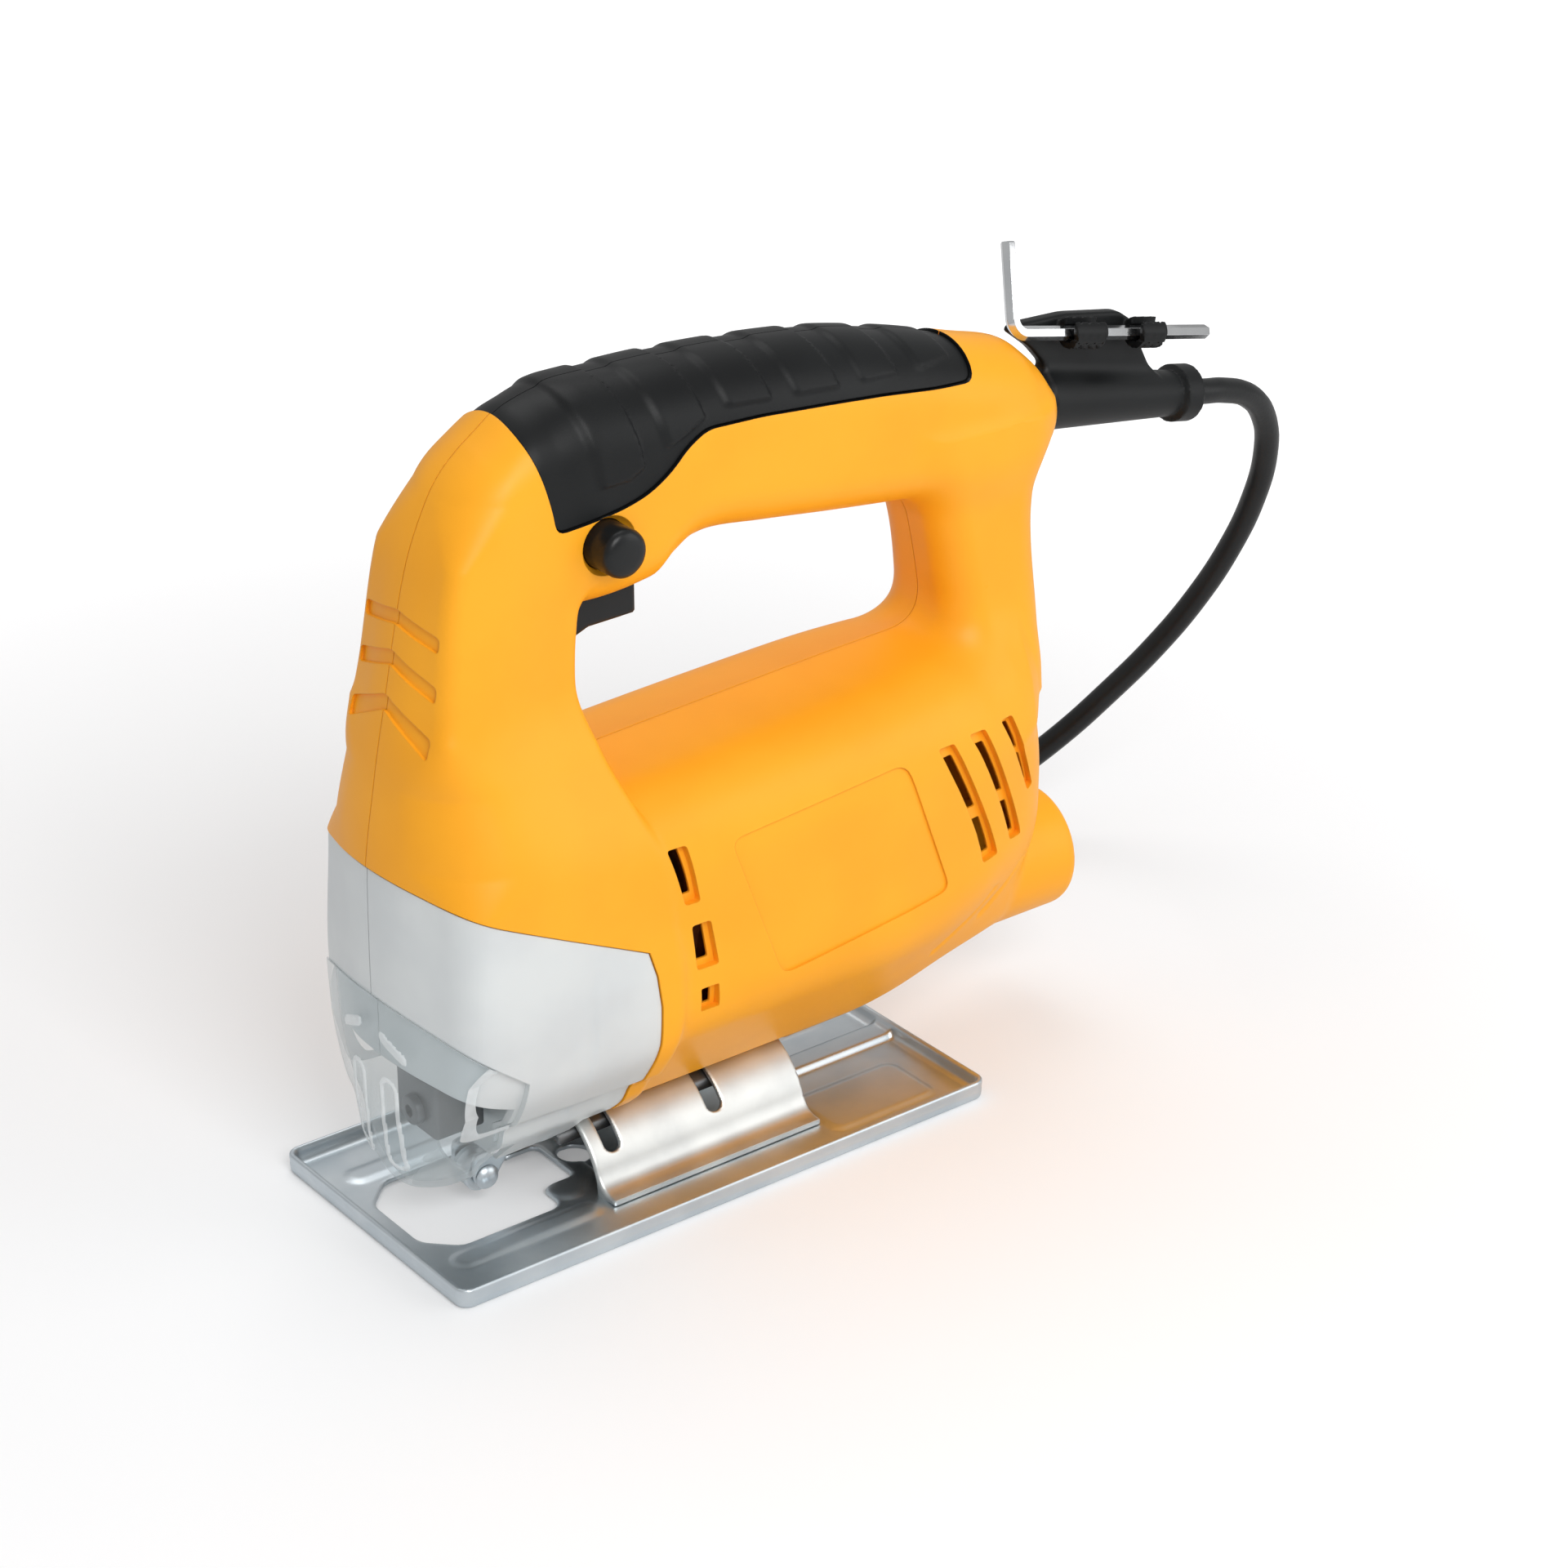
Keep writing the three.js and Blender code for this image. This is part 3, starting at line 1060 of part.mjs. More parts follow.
function trigger() {
  const blade = sidePlate([
    [TRIGGER_FRONT, TRIGGER_BOTTOM - 1.8], [TRIGGER_FRONT + 2.6, TRIGGER_BOTTOM - 0.4],
    [TRIGGER_FRONT + 6, TRIGGER_BOTTOM], [TRIGGER_REAR - 0.6, TRIGGER_BOTTOM],
    [TRIGGER_REAR, TRIGGER_BOTTOM + 0.6], [TRIGGER_REAR, TRIGGER_TOP],
    [TRIGGER_FRONT, TRIGGER_TOP],
  ], -TRIGGER_HALF, TRIGGER_HALF);
  const pocket = turnedZ(rod(TRIGGER_TOP - 8, TRIGGER_TOP + 5, TRIGGER_SPRING_R + 0.8),
    TRIGGER_SPRING_X, 0, 16);
  return cut(blade, pocket);
}

function triggerSpring() {
  const bottom = TRIGGER_TOP - 8 + GAP;
  const geometry = springGeometry(TRIGGER_SPRING_R, 0.4, SWITCH_BOTTOM - GAP - bottom, 4);
  geometry.translate(TRIGGER_SPRING_X, 0, bottom);
  return solid(geometry);
}

function switchBody() {
  const block = box(TRIGGER_FRONT, SWITCH_REAR, -SWITCH_HALF, SWITCH_HALF, SWITCH_BOTTOM, SWITCH_TOP);
  const terminals = [-4, 4].map((y) => box(SWITCH_REAR - 1, SWITCH_REAR + 5, y - 1.2, y + 1.2,
    SWITCH_BOTTOM + 8, SWITCH_BOTTOM + 9));
  return union([block, ...terminals]);
}

function lockButton() {
  const stem = -SWITCH_HALF - LOCK_TRAVEL - GAP;
  return turnedY([[-LOCK_FACE, 0], [-LOCK_FACE + 0.15, 2.6], [-LOCK_FACE + 0.7, LOCK_R - 1],
    [-LOCK_FACE + 1.6, LOCK_R], [-13, LOCK_R], [-13, 2.4], [stem, 2.4], [stem, 0]],
  LOCK_X, LOCK_Z, 18);
}

function capacitor() {
  return box(CAPACITOR_X - 5.5, CAPACITOR_X + 5.5, -7, 7, CAPACITOR_FLOOR + GAP, CAPACITOR_FLOOR + 17);
}

// ---------------------------------------------------------------- boot, hex key, cord

const BOOT_LENGTH = Math.hypot(BOOT_END[0] - BOOT_START[0], BOOT_END[1] - BOOT_START[1]);
const BOOT_ANGLE = Math.atan2(BOOT_START[1] - BOOT_END[1], BOOT_END[0] - BOOT_START[0]);

// Turned about the boot's own sloping axis; profile points are [along the axis, radius].
function bootSolid(profile, sides = 14) {
  const points = profile.map(([s, r]) => new THREE.Vector2(r, s));
  const geometry = new THREE.LatheGeometry(points, sides);
  geometry.rotateZ(-Math.PI / 2);
  geometry.rotateY(BOOT_ANGLE);
  geometry.translate(BOOT_START[0], 0, BOOT_START[1]);
  return solid(geometry);
}

const KEY_ANGLE = THREE.MathUtils.degToRad(11.1);
const KEY_BEND_R = 3.5;
const CLIPS = [[17, 10], [38.5, 8]]; // along the long arm from the bend: start and length

// From the key's own frame, long arm along +X and bend at the origin, to its place.
function placeKey(geometry) {
  geometry.rotateY(KEY_ANGLE);
  geometry.translate(...KEY_BEND);
  return geometry;
}

function hexKey() {
  const r = KEY_FLATS / Math.sqrt(3);
  const lean = THREE.MathUtils.degToRad(KEY_LEAN);
  const up = new THREE.Vector3(0, Math.sin(lean), Math.cos(lean));
  const across = new THREE.Vector3(1, 0, 0).cross(up);
  const stations = [[new THREE.Vector3(KEY_LONG, 0, 0), new THREE.Vector3(-1, 0, 0)]];
  for (let i = 0; i <= 5; i += 1) {
    const t = (Math.PI / 2) * (i / 5);
    const centre = new THREE.Vector3(KEY_BEND_R, 0, 0).addScaledVector(up, KEY_BEND_R);
    stations.push([
      centre.clone().addScaledVector(up, -KEY_BEND_R * Math.cos(t)).add(
        new THREE.Vector3(-KEY_BEND_R * Math.sin(t), 0, 0)),
      new THREE.Vector3(-Math.cos(t), 0, 0).addScaledVector(up, Math.sin(t)),
    ]);
  }
  stations.push([up.clone().multiplyScalar(KEY_SHORT), up.clone()]);
  const rings = stations.map(([centre, along]) => {
    const normal = along.clone().cross(across).normalize();
    return arc(0, 0, r, 30, 330, 5).map(([u, v]) => centre.clone()
      .addScaledVector(across, u).addScaledVector(normal, v));
  });
  const body = loftRings(rings);
  return solid(placeKey(geometryOf(body)));
}

function keyClip([from, length]) {
  const inner = KEY_FLATS / Math.sqrt(3) + GAP;
  const outline = [...arc(0, 0, inner + 1.5, 125, 425, 10), ...arc(0, 0, inner, 65, -235, 10)];
  const shape = new THREE.Shape(outline.map(([y, z]) => new THREE.Vector2(y, z)));
  const geometry = new THREE.ExtrudeGeometry(shape, { depth: length, bevelEnabled: false });
  geometry.applyMatrix4(new THREE.Matrix4().set(
    0, 0, 1, from, 1, 0, 0, 0, 0, 1, 0, 0, 0, 0, 0, 1));
  return solid(placeKey(geometry));
}

function cordBoot() {
  const end = BOOT_LENGTH;
  const sleeve = bootSolid([[-BOOT_FLANGE, 0], [-BOOT_FLANGE, BOOT_R + 1.2], [0, BOOT_R + 1.2],
    [0, BOOT_R - GAP], [8.4, BOOT_R - GAP], [8.8, BOOT_R + 0.4], [16, BOOT_R], [end - 7, BOOT_TIP_R],
    [end - 6, BOOT_TIP_R + 1.4], [end - 1, BOOT_TIP_R + 1.4], [end, BOOT_TIP_R], [end, 0]]);
  const fin = sidePlate([[117.6, 158], [117.4, 165.6], [113, 170.4], [106.4, 175.4],
    [108.4, 177], [123.6, 176.6], [140.6, 173.8], [145.2, 170.6], [148.6, 163], [152.4, 156],
    [150, 151]], -1.8, 1.8);
  const bore = bootSolid(rod(-5, end + 5, CORD_R + GAP), 16);
  return cut(union([sleeve, fin, ...CLIPS.map(keyClip)]), bore);
}

function cordClamp() {
  return cut(box(CORD_CLAMP_X - 2, CORD_CLAMP_X + 2, -6, 6, CORD_CLAMP_Z + GAP, CORD_CLAMP_Z + 4),
    bootSolid(rod(-30, 5, CORD_R + GAP), 12));
}

// The free cord: out of the boot, down behind the tool and along the surface to its coil.
const CORD_ROUTE = [
  [178, 0.4, 145.6], [188.6, 1.6, 141.6], [197.2, 4, 133.4], [202.8, 8, 121.4],
  [205.2, 13.6, 106.8], [205, 20.8, 91], [202.2, 29, 75], [197, 38, 59.4], [189.6, 47.4, 44.6],
  [180, 56, 31], [168.4, 64.2, 19.4], [155.6, 71.2, 10.8], [142, 76.6, 5.6], [130, 80, 3.7],
  [117.2, 82.5, 3.4],
];

function bootAxisPoint(s) {
  return new THREE.Vector3(BOOT_START[0] + s * Math.cos(BOOT_ANGLE), 0,
    BOOT_START[1] - s * Math.sin(BOOT_ANGLE));
}

function tube(points, steps, r = CORD_R) {
  const shape = new THREE.Shape(arc(0, 0, r, 0, 315, 7).map(([x, y]) => new THREE.Vector2(x, y)));
  const path = new THREE.CatmullRomCurve3(points, false, 'centripetal');
  return solid(new THREE.ExtrudeGeometry(shape, { steps, extrudePath: path, bevelEnabled: false }));
}

function cord() {
  const route = CORD_ROUTE.map((p) => new THREE.Vector3(...p));
  return tube([bootAxisPoint(BOOT_LENGTH + GAP), bootAxisPoint(BOOT_LENGTH + 6), ...route], 20);
}

function cordLeadIn() {
  return tube([bootAxisPoint(-22), bootAxisPoint(0), bootAxisPoint(BOOT_LENGTH)], 4);
}

const COIL_HALF = (COIL_LAYERS - 1) * CORD_R + CORD_R;
const COIL_TOP = COIL_FLOOR + 2 * COIL_HALF;

function cordCoil() {
  const inner = COIL_MEAN_R - COIL_HALF;
  const outer = COIL_MEAN_R + COIL_HALF;
  const bevel = CORD_R * 0.6;
  return turnedZ([[COIL_FLOOR, inner], [COIL_FLOOR, outer - bevel], [COIL_FLOOR + bevel, outer],
    [COIL_TOP - bevel, outer], [COIL_TOP, outer - bevel], [COIL_TOP, inner], [COIL_FLOOR, inner]],
  ...COIL_CENTRE, 28);
}

// A strap round the coil's section, on its far side.
function cordTie() {
  const [cx, cy] = COIL_CENTRE;
  const y0 = cy + COIL_MEAN_R - COIL_HALF - GAP;
  const y1 = cy + COIL_MEAN_R + COIL_HALF + GAP;
  const [z0, z1] = [COIL_FLOOR, COIL_TOP + GAP];
  const outside = box(cx - 6, cx + 6, y0 - 1.2, y1 + 1.2, 0.1, z1 + 1.2);
  return cut(outside, cordCoilEnvelope(), box(cx - 7, cx + 7, y0, y1, z0 - 1, z1));
}

function cordCoilEnvelope() {
  const [cx, cy] = COIL_CENTRE;
  return turnedZ(ringProfile(-1, COIL_TOP + GAP, COIL_MEAN_R - COIL_HALF - GAP,
    COIL_MEAN_R + COIL_HALF + GAP), cx, cy, 28);
}

// The plug lies along the coil's near side, its cable end at the rear and its pins to the front.
const PLUG_Y = COIL_CENTRE[1] - COIL_MEAN_R;
const PLUG_Z = COIL_TOP + GAP + 7;
const PLUG_CABLE_END = COIL_CENTRE[0] + 18;
const PLUG_LENGTH = 51;
const PLUG_FACE = PLUG_CABLE_END - PLUG_LENGTH;
const PIN_PITCH = 19;
const PIN_LENGTH = 19;
const PIN_R = 1.9;

function plugBody() {
  const stations = [
    [0, 4.4, 4.4], [3, 4.8, 4.8], [15, 5.6, 5.4], [20, 10, 6.4], [27, 13, 7], [44, 14.5, 7],
    [PLUG_LENGTH, 14.5, 7],
  ].map(([s, half, thick]) => ({
    at: s,
    corners: [[PLUG_Z - thick, -half, 3], [PLUG_Z + thick, -half, 3], [PLUG_Z + thick, half, 3],
      [PLUG_Z - thick, half, 3]],
  }));
  const body = loft(stations, (s, z, y) => new THREE.Vector3(PLUG_CABLE_END - s, PLUG_Y + y, z), 0, 2);
  const half = PIN_PITCH / 2 + 2.3;
  const insertRoom = box(0, PLUG_FACE + 6, PLUG_Y - half, PLUG_Y + half, PLUG_Z - 2.3, PLUG_Z + 2.3);
  return cut(body, insertRoom);
}

// Two pins on the insert that closes the plug's face.
function plugPins() {
  const half = PIN_PITCH / 2 + 2;
  const insert = box(PLUG_FACE, PLUG_FACE + 5.7, PLUG_Y - half, PLUG_Y + half, PLUG_Z - 2, PLUG_Z + 2);
  const tip = PLUG_FACE - PIN_LENGTH;
  const pins = [-1, 1].map((side) => turnedX([[tip, 0], [tip, PIN_R - 0.9], [tip + 2, PIN_R],
    [PLUG_FACE + 2, PIN_R], [PLUG_FACE + 2, 0]], PLUG_Y + (side * PIN_PITCH) / 2, PLUG_Z, 10));
  return union([insert, ...pins]);
}

// ---------------------------------------------------------------- finishes and assembly

function finish(color, roughness, metalness = 0) {
  return { color, roughness, metalness };
}

const ORANGE = finish(0xf7a823, 0.45);
const SILVER = finish(0xc6ccc9, 0.35, 0.5);
const BLACK_RUBBER = finish(0x1b1c1e, 0.6);
const BLACK_PLASTIC = finish(0x17181a, 0.4);
const CLEAR = finish(0xe8eef0, 0.08);
const ZINC = finish(0xb9c3c8, 0.35, 0.9);
const STEEL = finish(0xc4c4c0, 0.3, 1);
const DARK_STEEL = finish(0x55585a, 0.45, 0.9);
const BRONZE = finish(0xb08a4a, 0.4, 0.9);
const COPPER = finish(0xa8542a, 0.4, 0.8);
const CARBON = finish(0x3a3a3c, 0.8);
const GREY_PLASTIC = finish(0x6d7072, 0.5);

const jigsaw = new THREE.Group();

function add(name, body, look) {
  const mesh = new THREE.Mesh(geometryOf(body), new THREE.MeshStandardMaterial(look));
  mesh.name = name;
  jigsaw.add(mesh);
}

const shells = housing();
const nose = noseShell(shells.outer);
[['left', -1], ['right', 1]].forEach(([name, side]) => {
  add(`housing_${name}`, housingHalf(shells, side), ORANGE);
  add(`nose_cover_${name}`, noseHalf(nose, side), SILVER);
  add(`grip_${name}`, gripHalf(side), BLACK_RUBBER);
  add(`brush_holder_${name}`, brushHolder(side), BRONZE);
  add(`carbon_brush_${name}`, carbonBrush(side), CARBON);
});
add('blade_guard', bladeGuard(), CLEAR);
SCREWS.forEach((place, i) => add(`housing_screw_${i + 1}`, screw(place), DARK_STEEL));
NOSE_SCREWS.forEach((place, i) => add(`nose_screw_${i + 1}`, screw(place), DARK_STEEL));
add('base_plate', basePlate(), ZINC);
add('bevel_cradle', bevelCradle(), STEEL);
add('bevel_clamp_plate', bevelClampPlate(), DARK_STEEL);
add('bevel_clamp_screw_front', bevelClampScrew(CLAMP_SCREW_X[0]), DARK_STEEL);
add('bevel_clamp_screw_rear', bevelClampScrew(CLAMP_SCREW_X[1]), DARK_STEEL);
add('clamp_nut_plate', clampNutPlate(), DARK_STEEL);
add('roller_bracket', rollerBracket(), ZINC);
add('bracket_screw', bracketScrew(), DARK_STEEL);
add('roller_pin', rollerPin(), ZINC);
add('guide_roller', guideRoller(), ZINC);
add('plunger_rod', plungerRod(), STEEL);
add('crank_yoke', crankYoke(), DARK_STEEL);
add('blade_clamp', bladeClamp(), DARK_STEEL);
add('blade_clamp_screw', bladeClampScrew(), DARK_STEEL);
add('lower_bush', bush(LOWER_BUSH_Z), BRONZE);
add('upper_bush', bush(UPPER_BUSH_Z), BRONZE);
add('crank_gear', crankGear(), STEEL);
add('crank_pin', crankPin(), STEEL);
add('gear_axle', gearAxle(), STEEL);
add('gear_frame', gearFrame(), GREY_PLASTIC);
add('front_bearing', bearing(FRAME_FRONT + FRAME_SHEET), STEEL);
add('rear_bearing', bearing(REAR_BEARING_X), STEEL);
add('armature_shaft', armatureShaft(), STEEL);
add('armature_core', armatureCore(), DARK_STEEL);
add('armature_winding', armatureWinding(), COPPER);
add('commutator', commutator(), COPPER);
add('cooling_fan', coolingFan(), BLACK_PLASTIC);
add('stator_core', statorCore(), DARK_STEEL);
add('field_coils', fieldCoils(), COPPER);
add('trigger', trigger(), BLACK_PLASTIC);
add('trigger_spring', triggerSpring(), STEEL);
add('lock_button', lockButton(), BLACK_PLASTIC);
add('switch_body', switchBody(), BLACK_PLASTIC);
add('suppressor_capacitor', capacitor(), GREY_PLASTIC);
add('cord_boot', cordBoot(), BLACK_RUBBER);
add('cord_clamp', cordClamp(), BLACK_PLASTIC);
add('hex_key', hexKey(), STEEL);
add('cord_lead_in', cordLeadIn(), BLACK_RUBBER);
add('cord', cord(), BLACK_RUBBER);
add('cord_coil', cordCoil(), BLACK_RUBBER);
add('cord_tie', cordTie(), BLACK_PLASTIC);
add('plug_body', plugBody(), BLACK_RUBBER);
add('plug_pins', plugPins(), STEEL);

export default jigsaw;
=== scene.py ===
# %% [markdown]
# # A corded jigsaw
# The real tool is a plastic clamshell that holds a motor, with a silver nose, a rubber grip, a
# clear guard over the blade and a pressed steel shoe. This lesson gives each visible piece its
# final shape and its finish. All lengths are written in millimetres, because a toolmaker's
# drawing is, and turned into Blender's metres by one helper.

# %% Load the frame
import math

import bmesh
import bpy
import numpy as np
from mathutils import Matrix, Vector


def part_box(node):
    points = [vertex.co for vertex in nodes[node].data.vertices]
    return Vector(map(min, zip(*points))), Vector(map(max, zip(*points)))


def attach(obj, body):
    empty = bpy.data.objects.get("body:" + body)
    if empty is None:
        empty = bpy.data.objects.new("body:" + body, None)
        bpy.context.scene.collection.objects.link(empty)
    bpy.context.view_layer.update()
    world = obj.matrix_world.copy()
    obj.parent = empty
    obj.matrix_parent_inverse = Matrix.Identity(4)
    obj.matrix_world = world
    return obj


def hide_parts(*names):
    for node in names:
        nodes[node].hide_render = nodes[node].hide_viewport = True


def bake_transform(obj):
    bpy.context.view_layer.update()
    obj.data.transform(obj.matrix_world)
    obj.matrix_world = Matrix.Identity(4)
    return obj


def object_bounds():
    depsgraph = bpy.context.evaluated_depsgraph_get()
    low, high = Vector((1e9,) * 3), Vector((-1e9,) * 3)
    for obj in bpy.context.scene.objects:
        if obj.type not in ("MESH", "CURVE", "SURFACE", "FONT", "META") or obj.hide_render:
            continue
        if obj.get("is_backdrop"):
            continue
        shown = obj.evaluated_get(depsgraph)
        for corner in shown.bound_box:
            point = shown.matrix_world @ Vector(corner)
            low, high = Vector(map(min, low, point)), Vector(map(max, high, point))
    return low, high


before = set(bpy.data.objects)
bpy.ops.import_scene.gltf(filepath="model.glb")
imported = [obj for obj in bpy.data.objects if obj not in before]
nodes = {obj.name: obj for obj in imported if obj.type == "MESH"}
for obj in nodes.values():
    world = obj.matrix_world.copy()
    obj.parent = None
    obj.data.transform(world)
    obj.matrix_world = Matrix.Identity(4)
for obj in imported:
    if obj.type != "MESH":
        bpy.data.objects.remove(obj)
cad_box = [list(corner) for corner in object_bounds()]
scene = bpy.context.scene
MM = 0.001


def m(*point):
    """Millimetres to metres."""
    return Vector(point) * MM


def placed(name, data):
    """A new object in the scene with that mesh, curve, lamp or camera."""
    made = bpy.data.objects.new(name, data)
    scene.collection.objects.link(made)
    return made


print("CAD box, mm:", [[round(v / MM, 1) for v in corner] for corner in cad_box])

# %% [markdown]
# ## The camera
# A product view from the front left, a little above. The lens is long, so the tool's parallel
# edges stay nearly parallel. A camera looks down its own -Z, so its three axes are written out
# as a matrix: right, up and back.

# %% Camera
CAMERA_PLACE = m(-418.45, -589.44, 438.93)
CAMERA_RIGHT = Vector((0.78887, -0.61455, 0.00267))
CAMERA_UP = Vector((0.26488, 0.34393, 0.90086))
LENS = 82.087  # on a 36 mm wide sensor

camera_data = bpy.data.cameras.new("camera")
camera_data.lens = LENS
camera_data.sensor_width = 36
camera_data.clip_start = 0.01
camera = placed("camera", camera_data)
turn = Matrix((CAMERA_RIGHT, CAMERA_UP, CAMERA_RIGHT.cross(CAMERA_UP))).transposed()
camera.matrix_world = Matrix.Translation(CAMERA_PLACE) @ turn.to_4x4()
scene.camera = camera
print("camera looks from", [round(v, 3) for v in CAMERA_PLACE])

# %% [markdown]
# ## The cord's line
# A mains lead is a fixed length of something springy. It leaves the boot straight, bends down
# to the floor under its own weight and ends in a round coil held by a strap, with the plug on
# top. The fall to the floor is a list of points.

# %% Cord route
CORD_R = 3.15
BOOT_START = np.array([108, 0, 158.1])
BOOT_END = np.array([166, 0, 147.8])
BOOT_LENGTH = float(np.linalg.norm(BOOT_END - BOOT_START))
BOOT_AXIS = (BOOT_END - BOOT_START) / BOOT_LENGTH
COIL_CENTRE = (90, 120)
COIL_FLOOR = 0.2
COLUMN_RADII = (40.3, 34, 27.7)  # outer, middle, inner
LAYER = [COIL_FLOOR + CORD_R + 2 * CORD_R * i for i in range(4)]
COIL_START, COIL_END, COIL_STEP = 81, 2824, 14  # degrees
CORD_FALL = [
    (178, 0.4, 145.6), (188.6, 1.6, 141.6), (197.2, 4, 133.4), (202.8, 8, 121.4),
    (205.2, 13.6, 106.8), (205, 20.8, 91), (202.2, 29, 75), (197, 38, 59.4), (189.6, 47.4, 44.6),
    (180, 56, 31), (168.4, 64.2, 19.4), (155.6, 71.2, 10.8), (142, 76.6, 5.6), (130, 80, 3.7),
    (117.2, 82.5, 3.4), (106.6, 81, 3.35),
]
print("boot is", round(BOOT_LENGTH, 1), "mm long,", len(CORD_FALL), "points down to the coil")

# %% [markdown]
# ## Wind the coil
# The coil is three columns of turns. Each column climbs or sinks one diameter in its own
# sector, so no turn runs through another. The last loop leaves the inner column, crosses the
# coil's top and turns into the plug.

# %% Coil
def eased(t):
    """0 up to 0, 1 from 1 on, and a soft step in between."""
    t = np.clip(t, 0, 1)
    return t * t * (3 - 2 * t)


def stepped(angle, start, width):
    """0 before the sector that starts at start degrees, 1 after it, eased between."""
    return eased((angle - start) / width)


def coil_points():
    """The coil's turns. Degrees count clockwise from the rear, as the cord runs."""
    outer, middle, inner = COLUMN_RADII
    pitch = 2 * CORD_R
    points = []
    count = round((COIL_END - COIL_START) / COIL_STEP) + 1
    for angle in np.linspace(COIL_START, COIL_END, count):
        radius = outer
        radius += (middle - outer) * stepped(angle, 1000, 85)  # on top
        radius += (inner - middle) * stepped(angle, 1950, 170)  # at the floor
        z = LAYER[0]
        z += pitch * (stepped(angle, 370, 56) + stepped(angle, 730, 56))
        z -= pitch * (stepped(angle, 1345, 70) + stepped(angle, 1705, 70))
        z += pitch * (stepped(angle, 2280, 105) + stepped(angle, 2640, 105))
        z += pitch * stepped(angle, 2725, 97)
        a = math.radians(-angle)
        points.append((COIL_CENTRE[0] + radius * math.cos(a),
                       COIL_CENTRE[1] + radius * math.sin(a), z))
    return points


PLUG_ENTRY = (108, 86, 26.4)
LOOP_R = 26


def tail_points():
    """The last loop, which rises from the coil's top layer to the plug."""
    cx, cy = PLUG_ENTRY[0], PLUG_ENTRY[1] + LOOP_R
    points = []
    for i, degrees in enumerate(np.linspace(52, -90, 11)):
        a = math.radians(degrees)
        rise = (PLUG_ENTRY[2] - LAYER[3]) * eased((i - 5) / 5)
        points.append((cx + LOOP_R * math.cos(a), cy + LOOP_R * math.sin(a), LAYER[3] + rise))
    return points + [(PLUG_ENTRY[0] - 6, PLUG_ENTRY[1], PLUG_ENTRY[2])]


print("coil:", len(coil_points()), "points, last loop:", len(tail_points()))

# %% [markdown]
# ## Shader maths as sentences
# A finish is a small recipe: noise times a strength, added to a colour. One class wraps a
# shader socket, so that the recipe reads as arithmetic and each operation adds its own node.

# %% Wire
class Wire:
    """A socket in a node tree, or a place to start one from."""

    def __init__(self, tree, socket=None):
        self.tree = tree
        self.socket = socket

    def node(self, kind, settings=None, sockets=None, out=0):
        """Adds a node of that type and returns one of its outputs."""
        made = self.tree.nodes.new("ShaderNode" + kind)
        for name, value in (settings or {}).items():
            setattr(made, name, value)
        for name, value in (sockets or {}).items():
            if isinstance(value, Wire):
                self.tree.links.new(value.socket, made.inputs[name])
            else:
                made.inputs[name].default_value = value
        return Wire(self.tree, made.outputs[out])

    def maths(self, operation, first, second):
        sides = [s for s in (first, second) if isinstance(s, Wire)]
        if any(s.socket.type in ("RGBA", "VECTOR") for s in sides):
            spread = [s if isinstance(s, Wire) or hasattr(s, "__len__") else (s,) * 3
                      for s in (first, second)]
            return self.node("VectorMath", {"operation": operation}, dict(enumerate(spread)))
        return self.node("Math", {"operation": operation}, {0: first, 1: second})

    def __add__(self, other):
        return self.maths("ADD", self, other)

    def __radd__(self, other):
        return self.maths("ADD", other, self)

    def __mul__(self, other):
        return self.maths("MULTIPLY", self, other)

    def __rmul__(self, other):
        return self.maths("MULTIPLY", other, self)

    def between(self, low, high):
        """0 at low, 1 at high, smooth in between and clamped."""
        return self.node("MapRange", {"interpolation_type": "SMOOTHSTEP"},
                         {"Value": self, "From Min": low, "From Max": high})

    def fade(self, dark, light):
        """A colour between two, by this value."""
        return self.node("Mix", {"data_type": "RGBA", "clamp_factor": True},
                         {0: self, 6: (*dark, 1), 7: (*light, 1)}, out=2)


print("wires can be added and multiplied")

# %% [markdown]
# ## A material to start from
# Every finish of this tool starts from the same Principled shader. Its steady values are set
# on the shader's own sockets, and only what varies over the surface is wired in. The relief
# softens the edges by a fraction of a millimetre, as moulds and presses leave them.

# %% Finish
class Finish:
    """A material with a Principled shader, and places and noise to feed it."""

    def __init__(self, name, **steady):
        self.material = bpy.data.materials.new(name)
        self.material.use_nodes = True
        self.tree = self.material.node_tree
        self.tree.nodes.clear()
        self.wire = Wire(self.tree)
        self.shader = self.tree.nodes.new("ShaderNodeBsdfPrincipled")
        self.output = self.tree.nodes.new("ShaderNodeOutputMaterial")
        self.tree.links.new(self.shader.outputs[0], self.output.inputs["Surface"])
        self.place = self.wire.node("TexCoord", out=3)
        for socket, value in steady.items():
            self.shader.inputs[socket.replace("_", " ")].default_value = value

    def noise(self, grain_mm, detail=2, stretch=(1, 1, 1)):
        """Soft noise whose grain is about that many millimetres."""
        at = self.place * stretch if stretch != (1, 1, 1) else self.place
        return self.wire.node("TexNoise", None, {
            "Vector": at, "Scale": 1 / (grain_mm * MM), "Detail": detail})

    def feed(self, socket, wire):
        self.tree.links.new(wire.socket, self.shader.inputs[socket])

    def relief(self, height, depth_mm, edge_mm=0):
        """Bumps the surface by that depth, over edges that are softened by a small radius."""
        sockets = {"Height": height, "Distance": depth_mm * MM, "Strength": 1.0}
        if edge_mm:
            sockets["Normal"] = self.wire.node("Bevel", {"samples": 4},
                                               {"Radius": edge_mm * MM})
        self.feed("Normal", self.wire.node("Bump", None, sockets))


print("a finish has a shader, places, noise and relief")

